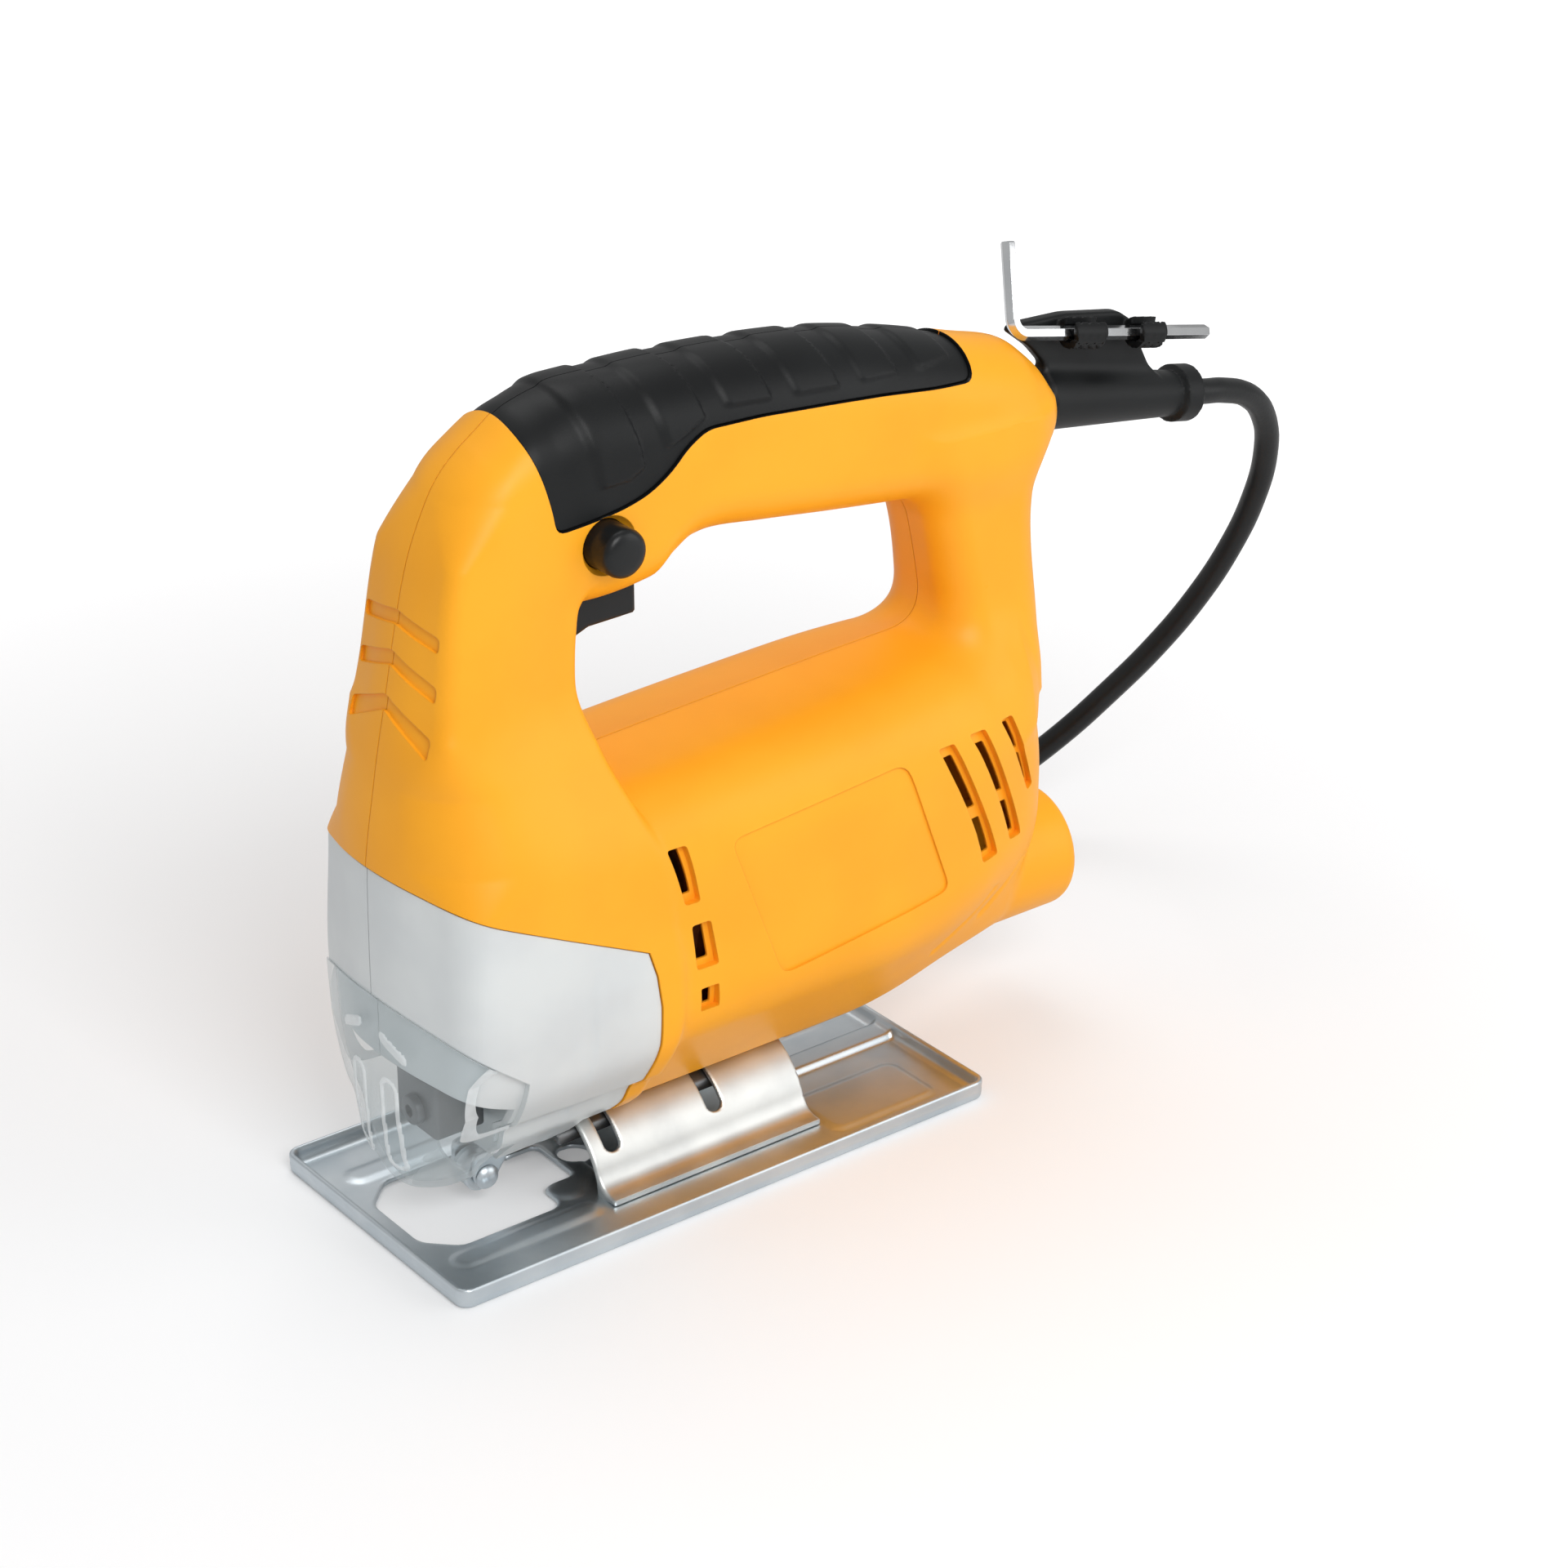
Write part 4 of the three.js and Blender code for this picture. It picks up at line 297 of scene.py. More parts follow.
# %% [markdown]
# ## Moulded plastics and rubber
# Moulded ABS copies the spark-eroded texture of its mould: a fine even grain, a little gloss,
# and a colour that hardly varies. The silver nose is the same plastic under a metallic paint.
# Rubber is duller and picks up dust in its grain.

# %% Plastics
def moulded(name, dark, light, roughness, grain, depth, edge=0.35, metallic=0.0, **steady):
    """Colour drifts slowly over the piece; roughness and relief follow the mould's grain."""
    finish = Finish(name, Metallic=metallic, **steady)
    drift = finish.noise(28, 3)
    texture = finish.noise(grain, 2)
    finish.feed("Base Color", drift.between(0.3, 0.7).fade(dark, light))
    finish.feed("Roughness", roughness - 0.05 + texture * 0.1)
    finish.relief(texture, depth, edge)
    return finish.material


ORANGE = moulded("orange_plastic", (0.94, 0.385, 0.012), (0.98, 0.415, 0.015), 0.42, 0.30, 0.010,
                 Specular_IOR_Level=0.30)
SILVER = moulded("silver_paint", (0.64, 0.67, 0.68), (0.71, 0.74, 0.74), 0.40, 0.16, 0.006,
                 metallic=0.25)
RUBBER = moulded("black_rubber", (0.004, 0.0045, 0.005), (0.008, 0.009, 0.0095), 0.42, 0.25, 0.02,
                Specular_IOR_Level=0.22)
BLACK = moulded("black_plastic", (0.005, 0.0055, 0.006), (0.010, 0.011, 0.0115), 0.32, 0.35, 0.012,
               Specular_IOR_Level=0.30)
GREY = moulded("grey_plastic", (0.20, 0.21, 0.22), (0.26, 0.27, 0.28), 0.45, 0.3, 0.01)
CORD_BLACK = moulded("cord_sheath", (0.004, 0.0045, 0.005), (0.009, 0.010, 0.0105), 0.36, 0.8,
                     0.03, edge=0, Specular_IOR_Level=0.3)
print("plastics:", [mat.name for mat in (ORANGE, SILVER, RUBBER, BLACK, GREY, CORD_BLACK)])

# %% [markdown]
# ## Metals
# Bare and plated metals differ in how their surface scatters: zinc plate is bluish, cloudy and
# fairly bright, drawn steel has fine lines along its length, cast and sintered parts are dull.
# All are fully metallic, so the lamps and the pale room draw their shape.

# %% Metals
def metal(name, dark, light, roughness, grain=3.0, stretch=(1, 1, 1), depth=0.004, edge=0.25,
          spread=0.10, metallic=1.0):
    finish = Finish(name, Metallic=metallic)
    cloud = finish.noise(14, 4)
    fine = finish.noise(grain, 3, stretch)
    finish.feed("Base Color", cloud.between(0.3, 0.7).fade(dark, light))
    finish.feed("Roughness", roughness - spread / 2 + cloud * spread * 0.5
                + fine * spread * 0.5)
    finish.relief(fine, depth, edge)
    return finish.material


ALONG_X = (0.04, 1, 1)  # stretches the grain along X
ZINC = metal("zinc_plate", (0.60, 0.66, 0.70), (0.69, 0.74, 0.77), 0.38, 2.5, depth=0.004)
STEEL = metal("satin_steel", (0.60, 0.61, 0.60), (0.72, 0.73, 0.71), 0.42, 0.5, ALONG_X)
BRIGHT = metal("bright_steel", (0.66, 0.68, 0.70), (0.80, 0.81, 0.82), 0.12, 1.2, spread=0.05)
DARK_STEEL = metal("dark_steel", (0.13, 0.135, 0.14), (0.22, 0.225, 0.23), 0.42, 0.8)
BRONZE = metal("sintered_bronze", (0.40, 0.28, 0.13), (0.52, 0.38, 0.19), 0.42, 0.4, depth=0.01)
LAMINATED = metal("laminated_steel", (0.10, 0.10, 0.105), (0.17, 0.17, 0.18), 0.45, 0.5,
                  (1, 0.02, 0.02), depth=0.05, edge=0)
COPPER = metal("enamelled_copper", (0.42, 0.13, 0.06), (0.60, 0.24, 0.11), 0.34, 0.45,
               (0.15, 1, 1), depth=0.10, edge=0, metallic=0.5)
CARBON = metal("pressed_carbon", (0.03, 0.03, 0.032), (0.06, 0.06, 0.063), 0.55, 0.3)
print("metals:", [mat.name for mat in (ZINC, STEEL, BRIGHT, DARK_STEEL, BRONZE, COPPER)])

# %% [markdown]
# ## Clear plastic
# The guard is a thin clear moulding. Looking through it matters more than bending the light,
# so its faces let light pass straight and add a reflection by Fresnel, while the cut edges
# and ribs get a paler, milkier mix: a painted highlight where real light piles up in them.

# %% Clear plastics
def clear(name, tint, haze_and_painted_highlight, roughness):
    """Straight-through light mixed with a glossy skin, by how much the skin hides: a little clouds
    the plastic, a lot with a pale tint paints a highlight.
    """
    finish = Finish(name, Base_Color=(*tint, 1), Roughness=roughness)
    scuffs = finish.noise(6, 3)
    through = finish.wire.node("BsdfTransparent", None, {"Color": (0.955, 0.97, 0.975, 1)})
    slant = finish.wire.node("LayerWeight", None, {"Blend": 0.35}, out=1)
    amount = slant * slant * 0.5 + haze_and_painted_highlight * (0.7 + scuffs * 0.6)
    skin = Wire(finish.tree, finish.shader.outputs[0])
    mixed = finish.wire.node("MixShader", None, {0: amount, 1: through, 2: skin})
    finish.tree.links.new(mixed.socket, finish.output.inputs["Surface"])
    return finish.material


CLEAR = clear("clear_plastic", (0.75, 0.79, 0.80), 0.07, 0.06)
# The edge and rib finish: a paler tint and more skin, a painted highlight.
CLEAR_PAINTED_HIGHLIGHT = clear("clear_plastic_painted_highlight", (0.88, 0.91, 0.92), 0.50, 0.12)
print("clear plastics:", CLEAR.name, CLEAR_PAINTED_HIGHLIGHT.name)

# %% [markdown]
# ## Room and floor
# A pale floor in a pale room, as in a product studio. The room gives an even fill. Only for
# rays that reach the camera does the floor glow a little, and further out more than near the
# tool, so it looks white there and still keeps the tool's shadow.

# %% Room and floor
def seen_ray(wire):
    """1 for what is seen straight or through clear plastic."""
    path = wire.node("LightPath")
    outputs = path.socket.node.outputs
    rays = [Wire(wire.tree, outputs[name]) for name in ("Is Camera Ray", "Is Transmission Ray")]
    return rays[0] + rays[1]


world = bpy.data.worlds.new("studio")
world.use_nodes = True
scene.world = world
ROOM_LIGHT = 0.50
background = world.node_tree.nodes["Background"]
background.inputs["Color"].default_value = (1, 1, 1, 1)
air = Wire(world.node_tree)
strength = ROOM_LIGHT + seen_ray(air) * (1 - ROOM_LIGHT)
world.node_tree.links.new(strength.socket, background.inputs["Strength"])

FLOOR_HALF = 6  # metres
floor_mesh = bpy.data.meshes.new("floor")
floor_mesh.from_pydata([(x * FLOOR_HALF, y * FLOOR_HALF, 0)
                        for x, y in ((-1, -1), (1, -1), (1, 1), (-1, 1))], [], [(0, 1, 2, 3)])
floor = placed("floor", floor_mesh)
paper = Finish("pale_floor", Roughness=0.9, Specular_IOR_Level=0.1)
paper.feed("Base Color", paper.noise(400, 2).fade((0.80, 0.80, 0.805), (0.82, 0.82, 0.825)))
away = paper.wire.node("VectorMath", {"operation": "LENGTH"}, {0: paper.place}, out=1)
glow = paper.wire.node("Emission", None, {
    "Color": (1, 1, 1, 1),
    "Strength": seen_ray(paper.wire) * (0.15 + away.between(0.15, 0.8) * 0.45)})
lit = paper.wire.node("AddShader", None, {0: Wire(paper.tree, paper.shader.outputs[0]), 1: glow})
paper.tree.links.new(lit.socket, paper.output.inputs["Surface"])
floor_mesh.materials.append(paper.material)
floor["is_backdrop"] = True
print("floor:", 2 * FLOOR_HALF, "m wide")

# %% [markdown]
# ## Lamps
# Three big soft lamps draw the form: a key high up on the left, a fill lower down behind it
# and a top light. Their size is what makes the shadows soft.

# %% Lamps
def lamp(name, place, aim, width, height, watts):
    """A soft rectangular lamp, turned towards the point it aims at. Sizes are in metres."""
    data = bpy.data.lights.new(name, "AREA")
    data.shape = "RECTANGLE"
    data.size = width
    data.size_y = height
    data.energy = watts
    made = placed(name, data)
    made.location = place
    made.rotation_euler = (Vector(aim) - Vector(place)).to_track_quat("-Z", "Y").to_euler()


lamp("key_lamp", (-0.25, -1.15, 1.0), (0, 0, 0.08), 0.7, 0.7, 11.0)
lamp("fill_lamp", (0.9, -0.9, 0.5), (0, 0, 0.08), 0.7, 0.9, 3.5)
lamp("top_lamp", (0.2, 0.5, 1.4), (0, 0, 0.05), 0.9, 0.9, 5.0)
scene.view_settings.view_transform = "Standard"

# %% [markdown]
# ## Lay the cord
# A curve with a round bevel is the natural tool for a cord: its own line is the centreline, so
# its length can be measured and checked. Automatic Bezier handles keep the line smooth through
# every point.

# %% Cord
def bezier_tube(name, points_mm, radius_mm, material):
    """A round curve through every point."""
    curve = bpy.data.curves.new(name, "CURVE")
    curve.dimensions = "3D"
    curve.bevel_depth = radius_mm * MM
    curve.bevel_resolution = 5
    curve.resolution_u = 6
    curve.use_fill_caps = True
    spline = curve.splines.new("BEZIER")
    spline.bezier_points.add(len(points_mm) - 1)
    for knot, place in zip(spline.bezier_points, points_mm):
        knot.co = m(*place)
        knot.handle_left_type = knot.handle_right_type = "AUTO"
    curve.materials.append(material)
    return placed(name, curve)


cord_exit = BOOT_START + BOOT_AXIS * (BOOT_LENGTH + 0.3)
cord_line = [tuple(cord_exit), tuple(cord_exit + BOOT_AXIS * 5.7), *CORD_FALL,
             *coil_points(), *tail_points()]
cord = bezier_tube("mains_cord", cord_line, CORD_R, CORD_BLACK)
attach(cord, "housing")
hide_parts("cord", "cord_coil")
straight = sum(math.dist(a, b) for a, b in zip(cord_line, cord_line[1:]))
print(len(cord_line), "points,", round(straight), "mm of cord along its chords")

# %% [markdown]
# ## The housing's form
# A moulded housing is drawn as a few soft bodies that melt into each other: a front column, a
# motor barrel, a handle bar, a rear strut and a dust port. Joining meshes and rounding the
# seams by bevels is fragile, so the form is written as one distance field instead: a function
# that is negative inside. The greater of two distances cuts, the lesser joins, and a rounded
# greater or lesser leaves the fillet. The rows below are sections of the real housing.

# %% Rounding helpers
def flowing(rows):
    """Smooth curves through rows of (place, values...), never overshooting a row."""
    rows = np.array(rows, float)
    at, values = rows[:, 0], rows[:, 1:]
    step = np.diff(at)[:, None]
    slope = np.diff(values, axis=0) / step
    tangent = np.vstack([slope[:1], np.zeros_like(slope[1:]), slope[-1:]])
    product = slope[:-1] * slope[1:]
    total = slope[:-1] + slope[1:]
    tangent[1:-1] = np.where(product > 0, 2 * product / np.where(total == 0, 1, total), 0)
    fine = np.arange(at[0], at[-1] + 0.25, 0.25)
    k = np.clip(np.searchsorted(at, fine, side="right") - 1, 0, len(at) - 2)
    t = ((fine - at[k]) / step[k, 0])[:, None]
    t = np.clip(t, 0, 1)
    h = step[k]
    curve = ((2 * t**3 - 3 * t**2 + 1) * values[k] + (t**3 - 2 * t**2 + t) * h * tangent[k]
             + (3 * t**2 - 2 * t**3) * values[k + 1] + (t**3 - t**2) * h * tangent[k + 1])
    return lambda place: [np.interp(place, fine, column) for column in curve.T]


def round_max(a, b, r):
    """The greater of two distances, with the corner rounded by about r."""
    h = np.maximum(r - np.abs(a - b), 0) / r
    return np.maximum(a, b) + h * h * r * 0.25


def round_min(a, b, r):
    return -round_max(-a, -b, r)


def beyond(u, v, u0, v0, u1, v1):
    """How far (u, v) lies outside the line from (u0, v0) to (u1, v1)."""
    du, dv = u1 - u0, v1 - v0
    return ((v - v0) * du - (u - u0) * dv) / np.sqrt(du * du + dv * dv)


def bar_section(across, along, half, low, high, r_low, r_high):
    """A rectangle with round corners: across is measured from its centre line."""
    upper = along > (low + high) / 2
    limit = np.minimum(half, (high - low) / 2) - 0.2
    r = np.minimum(np.where(upper, r_high, r_low), limit)
    u = across - (half - r)
    w = np.where(upper, along - (high - r), low + r - along)
    outside = np.sqrt(np.maximum(u, 0) ** 2 + np.maximum(w, 0) ** 2)
    return outside + np.minimum(np.maximum(u, w), 0) - r


print("a corner of 2 mm lifts a joint by", round_max(0.0, 0.0, 2.0), "mm")

# %% [markdown]
# ## Sections of the housing
# A designer draws a housing as sections at a few stations and lets smooth curves run through
# them. Each row here is one station. The column and the strut are cut level, the barrel and
# the handle across their length, and all of them are the same on both sides of the seam.

# %% Sections
# height: front; place and half width of the front corner, of the widest part and of the rear
COLUMN_AT = flowing([
    (9.5, -64, -61, 6, -52, 7, -36, 5),
    (15, -68.8, -65.2, 9.6, -50, 10.6, -14, 8.4),
    (19, -70.3, -66.4, 13.6, -50, 14.6, -13.5, 12.8),
    (24.5, -71.3, -67, 18.2, -50, 19.6, -13, 18.8),
    (29, -71.6, -66.8, 20, -50, 21, -12.8, 20.8),
    (33, -71.8, -66.6, 24.4, -49.5, 26.2, -12.5, 26.4),
    (46, -72, -65.8, 30.2, -49, 31.8, -12, 31.8),
    (62, -71.9, -65.6, 31.4, -49, 33, -12, 32),
    (88, -71.4, -64.2, 30.6, -49, 32.6, -14.5, 30.3),
    (113, -67.7, -65, 23.4, -49, 24.8, -22.5, 20),
    (128, -64.6, -61.2, 18.4, -48, 20.2, -26, 16),
    (157, -58.1, -56.7, 16.2, -43, 18, -22, 15),
    (171, -52.2, -51, 15.6, -37, 16.8, -16, 14.5),
    (181, -45, -44.6, 13.6, -32, 14.8, -13, 12.5),
    (187.5, -37, -36.6, 10, -28, 11.4, -12, 9.5),
])
# place: crest, shoulder, half width, lower crease, half width of the bottom, bottom
BARREL_AT = flowing([
    (-32, 105, 97.5, 30.5, 45, 8.4, 15.4),
    (6, 107.4, 100, 31.6, 45, 8.4, 15.4),
    (52, 110, 102, 31.1, 45, 8.8, 15.8),
    (66, 110.6, 102.5, 30.2, 46, 10.5, 18.6),
    (80, 111, 102, 28.6, 49, 11, 23.4),
    (91, 110.2, 100, 26, 52, 11, 27.6),
    (99, 107.5, 97, 23, 53, 10, 32),
    (104.5, 103.5, 93, 19, 54, 8.5, 37),
    (107.8, 98, 88, 14, 56, 6, 43),
])
# place: underside, top, half width
HANDLE_AT = flowing([
    (-42, 143, 181, 11), (-32, 143, 188.6, 15), (-18, 143, 191.3, 17), (-4, 144.4, 191.3, 17.2),
    (1, 148.2, 191.3, 17.2), (7, 151.4, 191.2, 17.2), (12, 152, 191, 17.2),
    (27, 150.3, 190.2, 17), (47, 147.6, 188.4, 16.6), (69, 145, 184.2, 16.3),
    (92, 142.6, 178, 16), (103, 143, 175, 15), (109, 145.6, 170.2, 13.4),
    (113, 148.8, 164.6, 10.8), (115.4, 153, 159, 6.8),
])
# height: front, rear, half width
STRUT_AT = flowing([
    (84.5, 90, 109.6, 19.5), (96, 87, 109, 19), (108, 83.6, 109.6, 16), (134, 78.4, 108.8, 13.6),
    (147, 74.5, 109.3, 14.4), (158, 68, 110.4, 15),
])
COLUMN_BOTTOM, COLUMN_TOP = 9.5, 188.5
BARREL_FRONT, BARREL_REAR = -32, 108.4
HANDLE_FRONT, HANDLE_REAR = -42, 116
STRUT_BOTTOM, STRUT_TOP = 90.5, 158
PORT_Z, PORT_R, PORT_FRONT, PORT_REAR = 39.4, 15.6, 60, 122
print("column front at 62 mm:", round(float(COLUMN_AT(62)[0]), 1))

# %% [markdown]
# ## Five bodies and one housing
# Each body is the greater of the distances from its faces. The front column has two flat faces
# that meet in a soft fold, which is what gives the nose its keel. The bodies are then joined
# with fillets whose radius changes along the tool, as it does on the moulding.

# %% Housing field
def column(x, y, z):
    front, cx, cy, sx, sy, rear, rear_half = COLUMN_AT(z)
    side = np.abs(y)
    crease = np.interp(z, [50, 88, 96, 112, 124, 160, 172], [7, 7, 16, 16, 3.5, 4, 14])
    # the flat faces meet ahead of the front line, and a soft fold brings them back to it
    meet = (front - 0.25 * cx) / 0.75
    fold = 0.5 * cy
    folded = np.where(side < fold, side * side / (2 * fold) + fold / 2, side)
    form = round_max(beyond(x, folded, meet, 0, cx, cy), beyond(x, side, cx, cy, sx, sy), crease)
    form = round_max(form, beyond(x, side, sx, sy, rear, rear_half), 3)
    form = round_max(form, x - rear, 2)
    form = round_max(form, z - COLUMN_TOP, 16)
    return round_max(form, COLUMN_BOTTOM - z, 2)


def barrel(x, y, z):
    crest, shoulder, half, low, bottom_half, bottom = BARREL_AT(x)
    side = np.abs(y)
    form = round_max(z - crest, beyond(side, z, 7, crest, half, shoulder), 9)
    form = round_max(form, side - half, 17)
    form = round_max(form, beyond(side, z, half, low, bottom_half, bottom), 5)
    form = round_max(form, bottom - z, 5)
    return np.maximum(round_max(form, x - BARREL_REAR, 3), BARREL_FRONT - x)


def handle(x, y, z):
    bottom, top, half = HANDLE_AT(x)
    form = bar_section(np.abs(y), z, half, bottom, top, 11, 15.5)
    return round_max(round_max(form, HANDLE_FRONT - x, 6), x - HANDLE_REAR, 3)


def strut(x, y, z):
    front, rear, half = STRUT_AT(z)
    form = bar_section(np.abs(y), x, half, front, rear, 9, 9)
    return round_max(np.maximum(form, z - STRUT_TOP), STRUT_BOTTOM - z, 1)


def port(x, y, z):
    form = np.sqrt(y * y + (z - PORT_Z) ** 2) - PORT_R
    return round_max(np.maximum(form, PORT_FRONT - x), x - PORT_REAR, 3)


def housing_field(x, y, z):
    """Distance in millimetres from the housing's outside, negative inside."""
    side = np.abs(y)
    foot = 7 * eased((z - 98) / 8) * eased((17 - side) / 8)  # of the handle, at the crest
    melt = np.interp(z, [62, 72], [5, 1.8]) + foot
    form = round_min(column(x, y, z), barrel(x, y, z), melt)
    form = round_min(form, port(x, y, z), np.interp(x, [98, 106], [7, 2]))
    upper = round_min(strut(x, y, z), handle(x, y, z), 7)
    return round_min(form, upper, np.interp(x, [0, 60, 99, 106], [3.5, 11, 11, 1.5]))


print("the housing's middle is", round(float(-housing_field(0.0, 0.0, 70.0)), 1), "mm deep")

# %% [markdown]
# ## From a field to a mesh
# A surface net puts one vertex in every grid cell that the surface passes through and joins
# neighbouring cells with quads. A few Newton steps then move each vertex exactly onto the
# surface, so the shading is as smooth as the form itself.

# %% Surface net
def surface_net(field, low, high, pitch, level=0.0):
    """The mesh of field == level inside a box, as points and quads, in millimetres."""
    def shut(x, y, z):
        """The field, walled off just inside the box, so that the mesh is always closed."""
        form = field(x, y, z) - level
        for place, a, b in zip((x, y, z), low, high):
            walls = np.maximum(a - place, place - b) + 0.6 * pitch
            form = np.maximum(form, walls)
        return form

    axes = [np.arange(a, b + pitch, pitch) for a, b in zip(low, high)]
    x, y, z = axes[0][:, None, None], axes[1][None, :, None], axes[2][None, None, :]
    values = np.broadcast_to(shut(x, y, z), [len(a) for a in axes])
    inside = values < 0
    cells = tuple(n - 1 for n in inside.shape)
    corners = [(i, j, k) for i in (0, 1) for j in (0, 1) for k in (0, 1)]

    def shifted(array, i, j, k):
        return array[i:i + cells[0], j:j + cells[1], k:k + cells[2]]

    count = sum(shifted(inside, *c).astype(np.int8) for c in corners)
    mixed = (count > 0) & (count < 8)
    index = np.full(cells, -1)
    index[mixed] = np.arange(mixed.sum())
    place = np.argwhere(mixed).astype(float) + 0.5
    points = place * pitch + np.array(low)
    quads = []
    for axis in range(3):
        u, v = (axis + 1) % 3, (axis + 2) % 3
        here = [slice(1, n) for n in cells]
        here[axis] = slice(0, cells[axis])
        there = list(here)
        there[axis] = slice(1, cells[axis] + 1)
        a, b = inside[tuple(here)], inside[tuple(there)]
        crossing = np.argwhere(a != b)
        edge = crossing + np.array([s.start for s in here])
        leaving = a[tuple(crossing.T)]
        ring = []
        for du, dv in ((1, 1), (0, 1), (0, 0), (1, 0)):
            cell = edge.copy()
            cell[:, u] -= du
            cell[:, v] -= dv
            ring.append(index[tuple(cell.T)])
        ring = np.array(ring).T
        quads.append(np.where(leaving[:, None], ring, ring[:, ::-1]))
    quads = np.vstack(quads)
    quads = quads[(quads >= 0).all(axis=1)]
    for _ in range(4):
        points = toward_surface(shut, points, pitch)
    return points, quads


def slopes(field, points, reach=0.05):
    """The field's slope along X, Y and Z at each point."""
    rows = []
    for axis in range(3):
        shift = np.zeros(3)
        shift[axis] = reach
        ahead, behind = points + shift, points - shift
        rows.append((field(*ahead.T) - field(*behind.T)) / (2 * reach))
    return np.array(rows).T


def toward_surface(field, points, pitch):
    """One Newton step of the points, half a cell long at most."""
    slope = slopes(field, points)
    off = field(*points.T)
    move = slope * (off / np.maximum((slope ** 2).sum(axis=1), 0.1))[:, None]
    return points - np.clip(move, -pitch * 0.5, pitch * 0.5)


print("a surface net takes a field, a box and a pitch")

# %% [markdown]
# ## From points to an object
# Blender keeps a mesh's points and faces apart from the object that shows them. Two helpers
# make both at once.

# %% Net objects
def mesh_object(name, points_mm, faces, material=None):
    mesh = bpy.data.meshes.new(name)
    mesh.from_pydata((np.asarray(points_mm, float) * MM).tolist(), [], [list(f) for f in faces])
    mesh.update()
    if material:
        mesh.materials.append(material)
    return placed(name, mesh)


def net_object(name, field, low, high, pitch, material=None, level=0.0):
    return mesh_object(name, *surface_net(field, low, high, pitch, level), material)


PITCH = 0.8
FINE = 0.5
HOUSING_BOX = (-75, -36, 7), (126, 36, 194)
print("surface nets at", PITCH, "and", FINE, "mm")

# %% [markdown]
# ## Cutting one form with another
# A mould maker machines vents, seams and pockets into a form that is already there. Here a
# cutter is a closed mesh: an outline drawn out straight, or a profile turned about an axis.
# The manifold solver takes it away exactly, and the cut faces get the cutter's own material.

# %% Cutters
REACH = 60  # further than the tool's side


def rounded(outline, r, steps=5):
    """The same outline with each corner turned into an arc."""
    points = []
    count = len(outline)
    for i, corner in enumerate(outline):
        corner = np.array(corner, float)
        before = np.array(outline[i - 1], float) - corner
        after = np.array(outline[(i + 1) % count], float) - corner
        reach = min(r, np.linalg.norm(before) * 0.45, np.linalg.norm(after) * 0.45)
        start = corner + before / np.linalg.norm(before) * reach
        end = corner + after / np.linalg.norm(after) * reach
        for t in np.linspace(0, 1, steps):
            points.append(tuple((1 - t) ** 2 * start + 2 * t * (1 - t) * corner + t * t * end))
    return points


def drawn_out(name, low_ring, high_ring, material):
    """A closed bar between two outlines with the same number of points."""
    count = len(low_ring)
    faces = [list(range(count)), list(range(2 * count - 1, count - 1, -1))]
    faces += [[i, i + count, (i + 1) % count + count, (i + 1) % count] for i in range(count)]
    return outward(mesh_object(name, low_ring + high_ring, faces, material))


def prism(name, outline, axis, low, high, material=None):
    """An outline drawn out along one axis. Its points are the two other places, in order."""
    def ring(along):
        places = [list(point) for point in outline]
        for place in places:
            place.insert("XYZ".index(axis), along)
        return places

    return drawn_out(name, ring(low), ring(high), material)


def through(name, outline, material=None):
    """A prism along Y that passes right through the tool."""
    return prism(name, outline, "Y", -REACH, REACH, material)


def slanted_prism(name, outline, start, axis, low, high, material=None):
    """An outline drawn out along any axis, from low to high beyond the start point."""
    side = axis.orthogonal().normalized()
    other = axis.cross(side)
    rings = [[tuple(Vector(start) + axis * along + side * u + other * v) for u, v in outline]
             for along in (low, high)]
    return drawn_out(name, *rings, material)


def block(name, low, high, material=None):
    outline = [(low[0], low[1]), (high[0], low[1]), (high[0], high[1]), (low[0], high[1])]
    return prism(name, outline, "Z", low[2], high[2], material)


print("cutters: prism, through, slanted prism, block")

# %% [markdown]
# ## Round cutters
# Screws, bores and knobs are profiles turned about an axis, as on a lathe. A bent bar or a
# spring is a skin over rings of points instead. Both end with their faces turned outward,
# because a boolean needs to know inside from outside.

# %% Turned and skinned forms
def turned(name, profile, start, axis, material=None, sides=40):
    """A profile of (along, radius) turned about an axis from a start point."""
    axis = Vector(axis).normalized()
    side = axis.orthogonal().normalized()
    other = axis.cross(side)
    start = Vector(start)
    points, faces, rings = [], [], []
    for along, radius in profile:
        if radius < 1e-6:
            rings.append([len(points)] * sides)
            points.append(start + axis * along)
            continue
        rings.append(list(range(len(points), len(points) + sides)))
        for i in range(sides):
            a = 2 * math.pi * i / sides
            spoke = side * math.cos(a) + other * math.sin(a)
            points.append(start + axis * along + spoke * radius)
    for ring, following in zip(rings, rings[1:]):
        for i in range(sides):
            j = (i + 1) % sides
            face = [ring[i], ring[j], following[j], following[i]]
            faces.append(list(dict.fromkeys(face)))
    return outward(mesh_object(name, [tuple(p) for p in points], faces, material))


def skinned(name, rings, material):
    """A closed skin over equal rings of points, from the first ring to the last."""
    sides = len(rings[0])
    points = [point for ring in rings for point in ring]
    last = len(points) - sides
    faces = [[start + i, start + (i + 1) % sides, start + sides + (i + 1) % sides,
              start + sides + i] for start in range(0, last, sides) for i in range(sides)]
    faces += [list(range(sides)), list(range(last, len(points)))]
    return outward(mesh_object(name, points, faces, material))


def outward(made):
    """Turns every face of a closed mesh to the outside."""
    form = bmesh.new()
    form.from_mesh(made.data)
    bmesh.ops.recalc_face_normals(form, faces=form.faces)
    form.to_mesh(made.data)
    form.free()
    return made


def rod(name, start, axis, length, radius, sides=40):
    return turned(name, [(0, 0), (0, radius), (length, radius), (length, 0)], start, axis,
                  sides=sides)


print("round forms: turned, skinned, rod")

